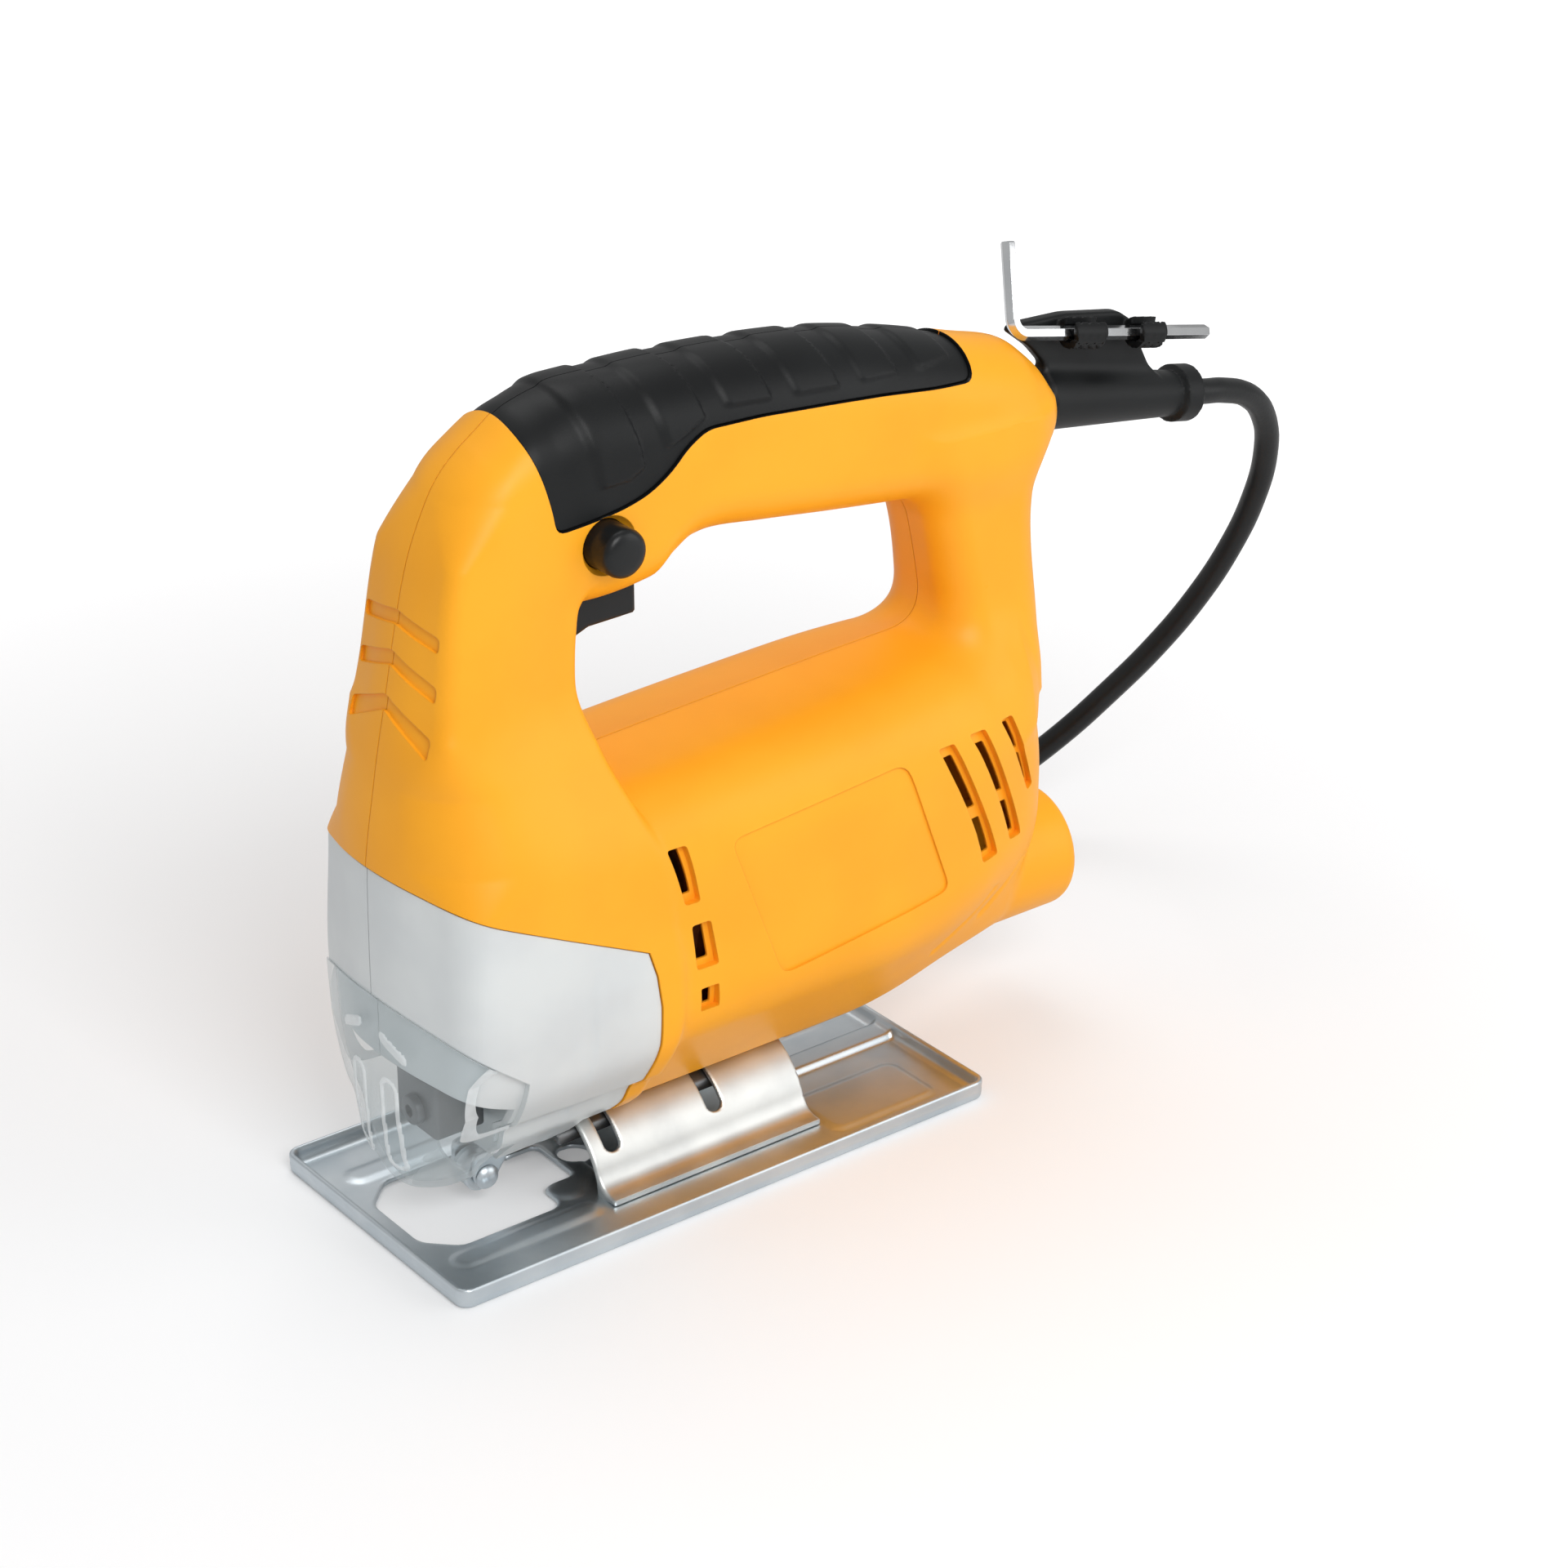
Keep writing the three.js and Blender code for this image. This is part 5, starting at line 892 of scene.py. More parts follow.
# %% [markdown]
# ## Using the cutters
# A boolean modifier does the cutting, and its result is kept as the new mesh at once, so the
# cutter can go. Each finished piece is shaded smooth with sharp edges where it turns by more
# than a moulding's draft, rides on its body and hides the plain CAD solid that it stands for.

# %% Cut and fit
def combine(body, operation, tool, spent=True):
    """Cuts, joins or keeps body with a closed tool, which is used up unless it isn't spent."""
    before = len(body.data.polygons)
    step = body.modifiers.new("step", "BOOLEAN")
    step.operation = operation
    step.solver = "MANIFOLD"
    step.material_mode = "TRANSFER"
    step.object = tool
    bpy.context.view_layer.update()
    graph = bpy.context.evaluated_depsgraph_get()
    result = bpy.data.meshes.new_from_object(body.evaluated_get(graph))
    body.modifiers.clear()
    worn = body.data
    body.data = result
    bpy.data.meshes.remove(worn)
    if len(result.polygons) in (0, before):
        print("no change by", operation, "of", body.name, "and", tool.name)
    if spent:
        bpy.data.objects.remove(tool)
    return body


def cut(body, *tools):
    for tool in tools:
        combine(body, "DIFFERENCE", tool)
    return body


def copied(made, name):
    twin = made.copy()
    twin.data = made.data.copy()
    twin.name = name
    scene.collection.objects.link(twin)
    return twin


def smooth(made, degrees=32):
    made.data.shade_smooth()
    made.data.set_sharp_from_angle(angle=math.radians(degrees))
    return made


def fit(made, body, slot, *stands_for):
    """Rides the piece on its body and hides what it stands for; slot is not used."""
    smooth(made)
    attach(made, body)
    if stands_for:
        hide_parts(*stands_for)
    return made


print("pieces can be cut, copied and fitted")

# %% [markdown]
# ## Moulded details
# Soft creases belong to the form, so they go into the field before meshing, as a distance to
# a line turned into a soft step. Finger grooves and the sunk panel have crisp edges instead:
# each is a cutter whose inside is the form itself, sunk by the groove's depth.

# %% Moulded details
def near_line(u, v, points):
    """Distance from (u, v) to a line through the points."""
    best = None
    for (u0, v0), (u1, v1) in zip(points, points[1:]):
        du, dv = u1 - u0, v1 - v0
        t = np.clip(((u - u0) * du + (v - v0) * dv) / (du * du + dv * dv), 0, 1)
        distance = np.hypot(u - u0 - t * du, v - v0 - t * dv)
        best = distance if best is None else np.minimum(best, distance)
    return best


def outline_field(u, v, outline):
    """Distance from a closed outline, negative inside."""
    ring = list(outline) + [outline[0]]
    odd = False
    for (u0, v0), (u1, v1) in zip(ring, ring[1:]):
        between = (v0 > v) != (v1 > v)
        odd = odd ^ (between & (u < (u1 - u0) * (v - v0) / (v1 - v0 + 1e-9) + u0))
    distance = near_line(u, v, ring)
    return np.where(odd, -distance, distance)


def band(distance, half, soft=0.9):
    """1 within half of a line, 0 outside, over a soft edge."""
    return eased((half - distance) / soft + 0.5)


GROOVE_DEPTH = 0.8
GRIP_GROOVES = [  # lower and upper edge at the seam, then the end's place and edges
    (145.8, 148.9, 14, 143.1, 146.5), (137.1, 140.4, 14.6, 132.4, 136),
    (127.3, 130.8, 15.2, 120.4, 124.9),
]
PANEL_DEPTH = 0.55
BARE_PANEL = [(3, 87.9), (53.4, 91.7), (67.8, 55.3), (17.4, 49.9)]
REAR_CREASES = [[(72, 33), (80.4, 39.7), (87, 47)], [(86.5, 38.4), (92.6, 44.1), (98.5, 50.5)]]


def detailed_field(x, y, z):
    creases = np.minimum(*[near_line(x, z, line) for line in REAR_CREASES])
    return housing_field(x, y, z) + 0.6 * band(creases, 0.9, 1.8) * (np.abs(y) > 10)


print(len(GRIP_GROOVES), "finger grooves and", len(REAR_CREASES), "creases on each side")

# %% [markdown]
# ## The housing as one shell
# The outside and the hollow are two nets of the same form, one wall apart. The grooves on the
# front and the bare panel on each flank follow the form at their own depth, so their floors
# are as curved as the housing is.

# %% Shell
WALL = 2.6
shell = net_object("shell", detailed_field, *HOUSING_BOX, PITCH, ORANGE)
cavity = net_object("cavity", housing_field, *HOUSING_BOX, PITCH * 1.4, ORANGE, -WALL)
front = net_object("front", housing_field, (-73, -22, 114), (-38, 22, 154), PITCH, ORANGE,
                   -GROOVE_DEPTH)
for low, high, end, end_low, end_high in GRIP_GROOVES:
    groove = prism("groove", rounded([(-end, end_low), (0, low), (end, end_low), (end, end_high),
                                      (0, high), (-end, end_high)], 1.2), "X", -73, -42, ORANGE)
    combine(groove, "DIFFERENCE", front, spent=False)
    cut(shell, groove)
panel_floor = net_object("panel_floor", housing_field, (-2, -36, 44), (74, 36, 98), PITCH,
                         ORANGE, -PANEL_DEPTH)
for side in (-40, 20):
    panel = prism("panel", rounded(BARE_PANEL, 3.5), "Y", side, side + 20, ORANGE)
    combine(panel, "DIFFERENCE", panel_floor, spent=False)
    cut(shell, panel)
for form in (front, panel_floor):
    bpy.data.objects.remove(form)
print("shell:", len(shell.data.polygons), "faces, cavity:", len(cavity.data.polygons))

# %% [markdown]
# ## The clamshell's plan
# The real housing is two mirrored shells, screwed together along the middle. Vents open onto
# the motor, a slot takes the trigger, the saddle sits on the round cradle and the nose and
# the grip fill areas of their own. Bosses for the screws stand in the hollow.

# %% Vents, screws and areas
SEAM = 0.12  # half of the gap between the halves
PORT_BORE = 13
PORT_DEPTH = 34
VENT_DEPTH = 1.9
VENTS = [  # the front and the rear edge of each vent, from the top down
    ([(-13.5, 90), (-9.6, 76)], [(-8.4, 90), (-5.6, 76)]),
    ([(-8, 70.5), (-6.6, 59)], [(-2.9, 70.5), (-0.7, 59)]),
    ([(-5.6, 54), (-5.4, 48)], [(-0.8, 54), (-0.4, 48)]),
    ([(63.6, 92), (67.1, 85), (71.6, 77), (75.4, 69), (77.8, 62.4), (78.9, 58)],
     [(68.6, 92), (72, 85.5), (76.4, 77), (80.2, 69), (83, 62.2), (84.2, 58.6)]),
    ([(73.9, 92.4), (78, 85.1), (81.7, 78), (85.4, 70), (88, 63.4), (89, 60.2)],
     [(79.2, 92.2), (82.8, 85), (86.6, 77.4), (90.2, 69.4), (92.7, 63), (93.6, 60)]),
    ([(85.3, 92), (88.5, 86), (91.8, 79.4), (96, 70.4)],
     [(89.6, 92), (92.4, 85.6), (95.4, 78.6), (98.4, 71)]),
]
VENT_WINDOWS = [(0.1, 0.5), (0.58, 0.93)]  # the open shares of a tall vent's length
SHORT_WINDOW = (0.02, 0.86)
OPEN_WIDTH = (0.04, 0.74)  # and of every vent's width
HOUSING_SCREWS = [(-36, 128), (97, 96), (68, 30), (100.5, 149)]
NOSE_SCREWS = [(-62, 66), (-29.5, 33)]
TILT_SCREWS = (-19.5, 9.5)  # along X: the screws that clamp the plate's tilt
BOSS_R = 5.2
SADDLE_R = 19.8  # clears the arch of the cradle
SADDLE_WALL = 2.4
BLADE_X = -55  # the plunger and the blade
LOCK_X, LOCK_Z = -18, 158  # the lock button
NOSE_OUTLINE = [(-100, 5), (-19.6, 5), (-19.4, 14.7), (-18.6, 24), (-17.6, 33), (-16.9, 44),
                (-17, 54), (-18.2, 62), (-20, 68.2), (-100, 105.8)]
GRIP_OUTLINE = rounded([
    (-35.2, 205), (-35.8, 184.7), (-34, 177.4), (-31.8, 168.8), (-30.9, 163.3), (-24, 163.9),
    (-14, 165.3), (-7.3, 167.3), (-1.6, 170.8), (3, 175.4), (8, 178.1), (22.9, 177.7),
    (42.2, 176.1), (57.3, 174.7), (73, 172.7), (84.6, 171.8), (86.2, 178), (86.2, 205)], 3)
# the room that the tilting plate and the cradle's foot need on one side, seen from the nose
PLATE_SWEEP = [(0, 3.4), (23.6, 27), (21.2, 28.8), (22.7, 30.8), (34, 19), (34, -5), (0, -5)]
CRADLE_SWEEP = [(0, 0), (6.2, 18.6), (9, 18.8), (12.8, 19.4), (15, 20.5), (25.4, 0)]
print(len(VENTS), "vents on each side,", len(HOUSING_SCREWS), "housing screws")

# %% [markdown]
# ## Tools for the housing
# The vents are slanted strips, so a share of one is found between its front and its rear edge.
# The plate tilts by up to 45 degrees under the housing, and a cutter in the shape of the room
# that it sweeps keeps the walls clear of it.

# %% Housing tools
def grown(outline, amount):
    """The outline moved outward by that much, along its corners."""
    points = [np.array(p, float) for p in outline]
    area = sum(a[0] * b[1] - a[1] * b[0] for a, b in zip(points, points[1:] + points[:1]))
    turn = 1 if area > 0 else -1
    moved = []
    for i, point in enumerate(points):
        before = point - points[i - 1]
        after = points[(i + 1) % len(points)] - point
        out = [np.array((d[1], -d[0])) / np.linalg.norm(d) * turn for d in (before, after)]
        half = (out[0] + out[1]) / np.linalg.norm(out[0] + out[1])
        moved.append(tuple(point + half * amount / max(half @ out[1], 0.4)))
    return moved


def vent_part(front_edge, rear_edge, start, end, near, far):
    """The outline of a share of a vent's length and width."""
    def across(t):
        ends = []
        for edge in (front_edge, rear_edge):
            edge = np.array(edge, float)
            at = t * (len(edge) - 1)
            whole = np.arange(len(edge))
            ends.append(np.array([np.interp(at, whole, edge[:, i]) for i in (0, 1)]))
        return [tuple(ends[0] + (ends[1] - ends[0]) * share) for share in (near, far)]

    rows = [across(t) for t in np.linspace(start, end, 7)]
    return [row[0] for row in rows] + [row[1] for row in rows[::-1]]


def halved(form, name, slot, node):
    """Splits a closed form at the seam into its left and its right piece."""
    for side, word in ((-1, "_left"), (1, "_right")):
        near, far = sorted((side * SEAM, side * REACH))
        half = copied(form, name + word)
        combine(half, "INTERSECT", block("half", (-200, near, -20), (250, far, 260)))
        fit(half, "housing", slot, node + word)
    bpy.data.objects.remove(form)


def bosses(places):
    """The posts that the screws go into, from side to side."""
    return [rod("boss", (x, -REACH, z), (0, 1, 0), 2 * REACH, BOSS_R) for x, z in places]


def swept_room(material, extra=0):
    """Cutters for the room that the plate and the cradle need when they tilt."""
    for side in (-1, 1):
        for outline, low, high in ((PLATE_SWEEP, -80, 80), (CRADLE_SWEEP, -27, 35.5)):
            points = [(side * y, z) for y, z in outline[::side]]
            yield prism("swept", grown(points, extra), "X", low - extra, high + extra, material)


def screw_tunnel(x, z):
    return turned("tunnel", [(0, 0), (0, 2.1), (6, 2.1), (6, 3.8), (60, 3.8), (60, 0)],
                  (x, 0, z), (0, 1, 0))


print("the tilting plate needs room up to", max(z for y, z in PLATE_SWEEP), "mm")

# %% [markdown]
# ## Cut the clamshell
# The hollow is the same form again, one wall further in. What must stay solid is taken out of
# the hollow first: the bosses, the wall over the cradle and the cup of the dust port. Then the
# hollow and the openings are cut from the shell, and the seam splits it in two.

# %% Clamshell
grip_bed = through("grip_bed", GRIP_OUTLINE, BLACK)
under_grip = net_object("under_grip", housing_field, (-60, -30, 150), (110, 30, 200),
                        PITCH * 1.4, BLACK, -2.4)
cut(grip_bed, under_grip)
cut(cavity, *bosses(HOUSING_SCREWS))
cut(cavity, rod("seat", (-28.4, 0, 0), (1, 0, 0), 65, SADDLE_R + SADDLE_WALL, 72))
cut(cavity, rod("cup", (PORT_REAR - PORT_DEPTH - 2.2, 0, PORT_Z), (1, 0, 0), 60, PORT_R))
cut(cavity, *swept_room(ORANGE, 1.6))
nose_cavity = copied(cavity, "nose_cavity")
cut(shell, cavity, grip_bed, through("nose_bed", NOSE_OUTLINE, ORANGE), *swept_room(ORANGE))
cut(shell, turned("port_bore", [(0, 0), (0, PORT_BORE), (PORT_DEPTH - 2.4, PORT_BORE),
                                (PORT_DEPTH - 0.6, PORT_BORE + 1), (60, PORT_BORE + 1), (60, 0)],
                  (PORT_REAR - PORT_DEPTH, 0, PORT_Z), (1, 0, 0)))
cut(shell, rod("saddle", (-26, 0, 0), (1, 0, 0), 60.3, SADDLE_R, 72),
    block("trigger_slot", (-24.7, -8.3, 130), (-4.7, 8.3, 156)))
flanks = net_object("flanks", housing_field, (-18, -36, 44), (104, 36, 97), PITCH, ORANGE,
                    -VENT_DEPTH)
for side in (-52, 12):
    for front_edge, rear_edge in VENTS:
        pocket = prism("vent", rounded(vent_part(front_edge, rear_edge, 0, 1, 0, 1), 0.9), "Y",
                       side, side + 40, ORANGE)
        combine(pocket, "DIFFERENCE", flanks, spent=False)
        cut(shell, pocket)
        windows = VENT_WINDOWS if len(front_edge) > 2 else [SHORT_WINDOW]
        for start, end in windows:
            part = vent_part(front_edge, rear_edge, start, end, *OPEN_WIDTH)
            cut(shell, prism("window", rounded(part, 0.6), "Y", side, side + 40, ORANGE))
bpy.data.objects.remove(flanks)
cut(shell, *[screw_tunnel(x, z) for x, z in HOUSING_SCREWS])
cut(shell, *[rod("clamp_hole", (x, 0, 10), (0, 0, 1), 20, 2.3) for x in TILT_SCREWS])
cut(shell, turned("scoop", [(0, 0), (0, 5.7), (6.2, 5.7), (7, 6.4), (9.5, 7.4), (30, 7.6), (30, 0)],
                  (LOCK_X, -9, LOCK_Z), (0, -1, 0)))
cut(shell, rod("boot_hole", (100, 0, 159.5), tuple(BOOT_AXIS), 40, 7.2))
halved(shell, "clamshell", "orange_plastic", "housing")
print("clamshell halves cut")

# %% [markdown]
# ## The silver nose
# Two painted covers close the front over the gears. They sit just under the orange shell's
# edge, so the shell shows a lip above them. Behind the guard they are open, for the blade.

# %% Nose covers
NOSE_SINK = 0.45
LID = 1.5  # the guard's sheet
GUARD_OUTLINE = [(-100, 0), (-51.5, 0), (-51.5, 45.3), (-100, 83.6)]
WINDOW_OUTLINE = [(-100, 0), (-52.5, 0), (-52.5, 37.6), (-100, 59.9)]
nose = net_object("nose", housing_field, (-75, -36, 7), (-13, 36, 96), PITCH, SILVER, -NOSE_SINK)
combine(nose, "INTERSECT", through("nose_edge", grown(NOSE_OUTLINE, -0.25), SILVER))
cut(nose, block("nose_bottom", (-100, -REACH, 0), (0, REACH, 14.7)))
cut(nose_cavity, block("nose_solid", (-100, -REACH, 0), (-43, REACH, 58)), *bosses(NOSE_SCREWS))
chamber = net_object("chamber", housing_field, (-72, -34, 9), (-44, 34, 52), FINE, SILVER, -4.1)
combine(chamber, "INTERSECT", block("room", (-100, -REACH, 0), (-46.8, REACH, 48.5), SILVER))
guard_bed = through("guard_bed", grown(GUARD_OUTLINE, 0.3), SILVER)
cut(guard_bed, net_object("behind", housing_field, (-75, -36, 7), (-40, 36, 90), PITCH, SILVER,
                          -LID - NOSE_SINK))
cut(nose, nose_cavity, chamber, guard_bed, *swept_room(SILVER),
    block("window", (-100, -17, 0), (-46.8, 17, 36)),
    through("window_front", WINDOW_OUTLINE, SILVER),
    rod("nose_saddle", (-26, 0, 0), (1, 0, 0), 40, SADDLE_R, 72),
    rod("tongue_room", (-31.5, 0, 0), (1, 0, 0), 40, 17.9, 72),
    rod("bush_bore", (BLADE_X, 0, 40), (0, 0, 1), 100, 7.2),
    *[screw_tunnel(x, z) for x, z in NOSE_SCREWS],
    rod("clamp_hole", (TILT_SCREWS[0], 0, 10), (0, 0, 1), 20, 2.3))
halved(nose, "nose", "silver_plastic", "nose_cover")
print("nose covers cut")

# %% [markdown]
# ## The clear guard
# A clear lid snaps over the front of the nose. It follows the same form, so it is the same
# field again, a sheet thick, with two raised hoops at the front and a small bar at the top.
# Its cut edges and ribs get a milkier material: a painted highlight where light piles up in them.

# %% Guard
def guard_ribs(x, y, z):
    """1 on the raised hoops, the small bar and the ears, 0 elsewhere."""
    side = np.abs(y)
    hoop = np.abs(near_line(side, z, [(6, 22), (6, 40)]) - 2.5)
    bar = near_line(side, z + 0.45 * side, [(5, 55), (11, 55)])
    ear = np.maximum(np.abs(x + 54) - 1.8, np.abs(z - 42) - 3.4)
    front = np.maximum(band(hoop, 0.6, 0.8), band(bar, 1.3, 0.7)) * (x < -55)
    return np.maximum(front, band(ear, 0, 0.8))


def guard_field(x, y, z):
    return housing_field(x, y, z) - 0.7 * guard_ribs(x, y, z)


GUARD_EDGE = [(-60, -5), (-60, 70), (-40, 70), (-28, 48), (-26, 39), (-19, 24.5), (-9, 12.6),
              (-5.5, 9.8), (5.5, 9.8), (9, 12.6), (19, 24.5), (26, 39), (28, 48), (40, 70),
              (60, 70), (60, -5)]
guard = net_object("guard", guard_field, (-75, -36, 7), (-46, 36, 66), FINE * 0.8, CLEAR)
# The second slot is the painted highlight, for the ribs here and for the faces cut by the edge
# cutters below.
guard.data.materials.append(CLEAR_PAINTED_HIGHLIGHT)
for face in guard.data.polygons:
    face.material_index = int(guard_ribs(*(face.center / MM)) > 0.4)
guard_hollow = net_object("guard_hollow", housing_field, (-75, -36, 5), (-44, 36, 68),
                          FINE, CLEAR, -LID)
combine(guard, "INTERSECT", through("guard_edge", GUARD_OUTLINE, CLEAR_PAINTED_HIGHLIGHT))
cut(guard, guard_hollow, prism("below", GUARD_EDGE, "X", -100, -40, CLEAR_PAINTED_HIGHLIGHT))
fit(guard, "housing", "clear_plastic", "blade_guard")
print("guard:", len(guard.data.polygons), "faces")

# %% [markdown]
# ## The rubber grip
# A rubber skin fills the bed on the handle. Six raised pads per side give the palm its hold:
# each rises over a soft ramp and ends in a sharper edge, and the valleys lean a little.

# %% Grip
VALLEYS = [-26.6, -8.5, 9.5, 27.8, 46.4, 63.6, 81.4]  # on the crest side of each valley
PAD_RISE = 0.65
GRIP_SINK = 0.75


def pads(x, z):
    """How far the pads stand up."""
    leaned = x - 0.22 * (188 - z)
    rise = 0
    for start, end in zip(VALLEYS, VALLEYS[1:]):
        ramp = eased((leaned - start - 2.4) / 2.6) * eased((end - 2.6 - leaned) / 0.7)
        rise = np.maximum(rise, ramp)
    foot = np.interp(x, [-26, -12, -6, 2, 9, 15, 45, 70, 80],
                     [170, 170.5, 174, 177, 180.2, 180.8, 178.6, 177, 177])
    return PAD_RISE * rise * eased((z - foot) / 1.4)


def grip_field(x, y, z):
    return housing_field(x, y, z) + GRIP_SINK - pads(x, z)


GRIP_BOX = (-45, -22, 158), (96, 22, 195)
grip = net_object("grip", grip_field, *GRIP_BOX, FINE * 1.2, RUBBER)
grip_hollow = net_object("grip_hollow", housing_field, *GRIP_BOX, PITCH, RUBBER, -2.1)
combine(grip, "INTERSECT", through("grip_edge", grown(GRIP_OUTLINE, -0.35), RUBBER))
cut(grip, grip_hollow)
halved(grip, "grip_skin", "black_rubber", "grip")
print("grip skins cut")

# %% [markdown]
# ## The pressed base plate
# One sheet of steel, pressed in a single stroke: the rim is folded up, two long beads stiffen
# it beside the cut-out, and a notch clears the roller. A sheet is a height drawn over the
# plan, given half a thickness each way, so the press tool's soft steps come by themselves.

# %% Base plate
SHEET = 1.5
PLATE_X, PLATE_Y, RIM_TOP = 75, 37.5, 5
CUTOUT = [(-68, -9.5), (-61, -16.5), (-36, -16.5), (-34, -14.5), (-34, -8), (-25, -8), (-25, 8),
          (-34, 8), (-34, 14.5), (-36, 16.5), (-61, 16.5), (-68, 9.5)]
BEAD_Y = 22
BEAD_RISE = 0.5


def box_2d(u, v, half_u, half_v, r):
    """Distance from a rectangle with round corners, centred on the origin."""
    du, dv = np.abs(u) - half_u + r, np.abs(v) - half_v + r
    return np.hypot(np.maximum(du, 0), np.maximum(dv, 0)) + np.minimum(np.maximum(du, dv), 0) - r


def plate_field(x, y, z):
    lean = 0.12 * (RIM_TOP - z)  # the rim flares outward as it rises
    edge = box_2d(x, y, PLATE_X, PLATE_Y, 3.5) + lean
    bead = near_line(x, np.abs(y), [(-64, BEAD_Y), (-31, BEAD_Y)])
    heel = near_line(x, np.abs(y), [(-24, 0), (-24, 6), (-30, 11.5)])
    height = SHEET / 2 + BEAD_RISE * band(bead, 2.9, 2.6)
    height = height + 0.5 * band(heel, 4, 3) * (x < -20) * (x > -34)
    height = height + 1.5 * band(np.abs(y), 3.6, 1.8) * eased((x - 36) / 3)
    table = box_2d(x - 50, np.abs(y) - 21.3, 15, 8.8, 3)
    height = height + 0.5 * band(table, 0, 2.2)
    sheet = np.abs(z - height) - SHEET / 2
    sheet = np.maximum(sheet, edge + 0.6)
    rim = round_max(np.abs(edge + SHEET / 2) - SHEET / 2, np.abs(z - 2.5) - 2.5, 1.0)
    form = round_min(sheet, rim, 1.8)
    cutout = outline_field(x, y, rounded(CUTOUT, 2.2))
    form = round_max(form, -cutout, 0.7)
    for screw_x in TILT_SCREWS:
        form = round_max(form, 4 - np.hypot(x - screw_x, y), 0.7)
    return round_max(form, -z, 0.8)


plate = net_object("pressed_plate", plate_field, (-77, -39, -1.2), (77, 39, 6.2), FINE * 1.1, ZINC)
fit(plate, "shoe", "zinc", "base_plate")
print("base plate:", len(plate.data.polygons), "faces")

# %% [markdown]
# ## The bevel cradle
# The arch is a second pressing, welded to the plate by its feet. Two slots run round it for
# the clamp screws, so the plate can tilt to either side. Its section is drawn once, from the
# nose, and runs the length of the piece.

# %% Cradle
ARCH_R = 19.5
CRADLE_X = (-25.7, 34)
FOOT = 24.8
FOOT_MIDDLE = SHEET + 0.8  # height of the middle of its sheet
SLOT_HALF = 2.15
SLOT_TURN = 52  # degrees from the top of the arch to a slot's end


def cradle_field(x, y, z):
    side = np.abs(y)
    r = np.hypot(y, z)
    arch = np.abs(r - ARCH_R + SHEET / 2) - SHEET / 2
    foot = np.maximum(np.abs(z - FOOT_MIDDLE) - 0.72, side - FOOT)
    foot = np.maximum(foot, ARCH_R - SHEET - side)
    form = round_min(np.maximum(arch, SHEET + 0.1 - z), foot, 4.5)
    form = np.maximum(form, ARCH_R - SHEET - r)
    middle = sum(CRADLE_X) / 2
    ends = np.abs(x - middle) - (CRADLE_X[1] - CRADLE_X[0]) / 2
    form = round_max(form, ends, 0.8)
    turn_off = np.degrees(np.arctan2(side, z))
    along = np.radians(np.maximum(turn_off - SLOT_TURN, 0)) * ARCH_R
    for slot_x in TILT_SCREWS:
        form = round_max(form, SLOT_HALF - np.hypot(x - slot_x, along), 0.7)
    return form


cradle = net_object("cradle", cradle_field, (-27, -27.5, 0.5), (35.5, 27.5, 21), FINE, STEEL)
fit(cradle, "shoe", "steel", "bevel_cradle")


def tongue_field(x, y, z):
    r = np.hypot(y, z)
    form = round_max(np.abs(r - 16.7) - 1.0, np.abs(x - 0.65) - 31.35, 0.7)
    form = round_max(form, np.abs(y) - 10.1, 0.7)
    for hole_x in TILT_SCREWS:
        form = round_max(form, 2.3 - np.hypot(x - hole_x, y), 0.4)
    return form


tongue = net_object("clamp_tongue", tongue_field, (-32, -11.5, 11), (33.5, 11.5, 19), FINE * 1.3,
                    DARK_STEEL)
fit(tongue, "housing", "dark_steel", "bevel_clamp_plate")
print("cradle:", len(cradle.data.polygons), "faces")

# %% [markdown]
# ## Screws
# Every screw is one turned profile: a shank, a head with a soft rim and a socket for its key.
# The socket is cut with a six-sided prism, so it catches light as a real one does.

# %% Screws
CLAMP_SCREW_Z = 29


def hexagon(radius):
    return [(radius * math.cos(math.radians(a)), radius * math.sin(math.radians(a)))
            for a in range(30, 390, 60)]


def screw(name, node, tip, axis, length, shank, head, head_height, socket, body="housing"):
    """A screw from its tip along its axis, head last, with a socket of that radius."""
    end = length + head_height
    profile = [(0, 0), (0, shank * 0.7), (shank * 0.5, shank)]
    for i in range(2, int((length - shank) / 0.9)):  # thread crests and roots
        profile.append((i * 0.9, shank if i % 2 else shank * 0.86))
    profile += [(length - 0.2, shank), (length, head), (end - 0.7, head), (end - 0.2, head - 0.3),
                (end, head - 0.8), (end, 0)]
    made = turned(name, profile, tip, axis, DARK_STEEL, 28)
    recess = slanted_prism("recess", hexagon(socket), tip, Vector(axis).normalized(),
                           end - head_height * 0.6, end + 2, DARK_STEEL)
    combine(made, "DIFFERENCE", recess)
    return fit(made, body, "dark_steel", node)


for name, node, places in (("case_screw_", "housing_screw_", HOUSING_SCREWS),
                           ("cover_screw_", "nose_screw_", NOSE_SCREWS)):
    for i, (x, z) in enumerate(places, 1):
        screw(f"{name}{i}", f"{node}{i}", (x, -9, z), (0, 1, 0), 15.3, 1.8, 3.5, 2.4, 1.6)
for x, word in zip(TILT_SCREWS, ("front", "rear")):
    low, high = [corner[2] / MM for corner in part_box("bevel_clamp_screw_" + word)]
    screw("tilt_screw_" + word, "bevel_clamp_screw_" + word, (x, 0, high), (0, 0, -1),
          high - low - 4, 2, 3.5, 4, 1.75)
low, high = [corner[2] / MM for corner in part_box("bracket_screw")]
screw("strap_screw", "bracket_screw", (-35, 0, high), (0, 0, -1), high - low - 2.2, 1.8, 3, 2.2,
      1.3)
low, high = [corner[0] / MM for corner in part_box("blade_clamp_screw")]
screw("clamp_screw", "blade_clamp_screw", (high, 0, CLAMP_SCREW_Z), (-1, 0, 0), high - low - 2.6,
      2.1, 3.6, 2.6, 1.6, "plunger")
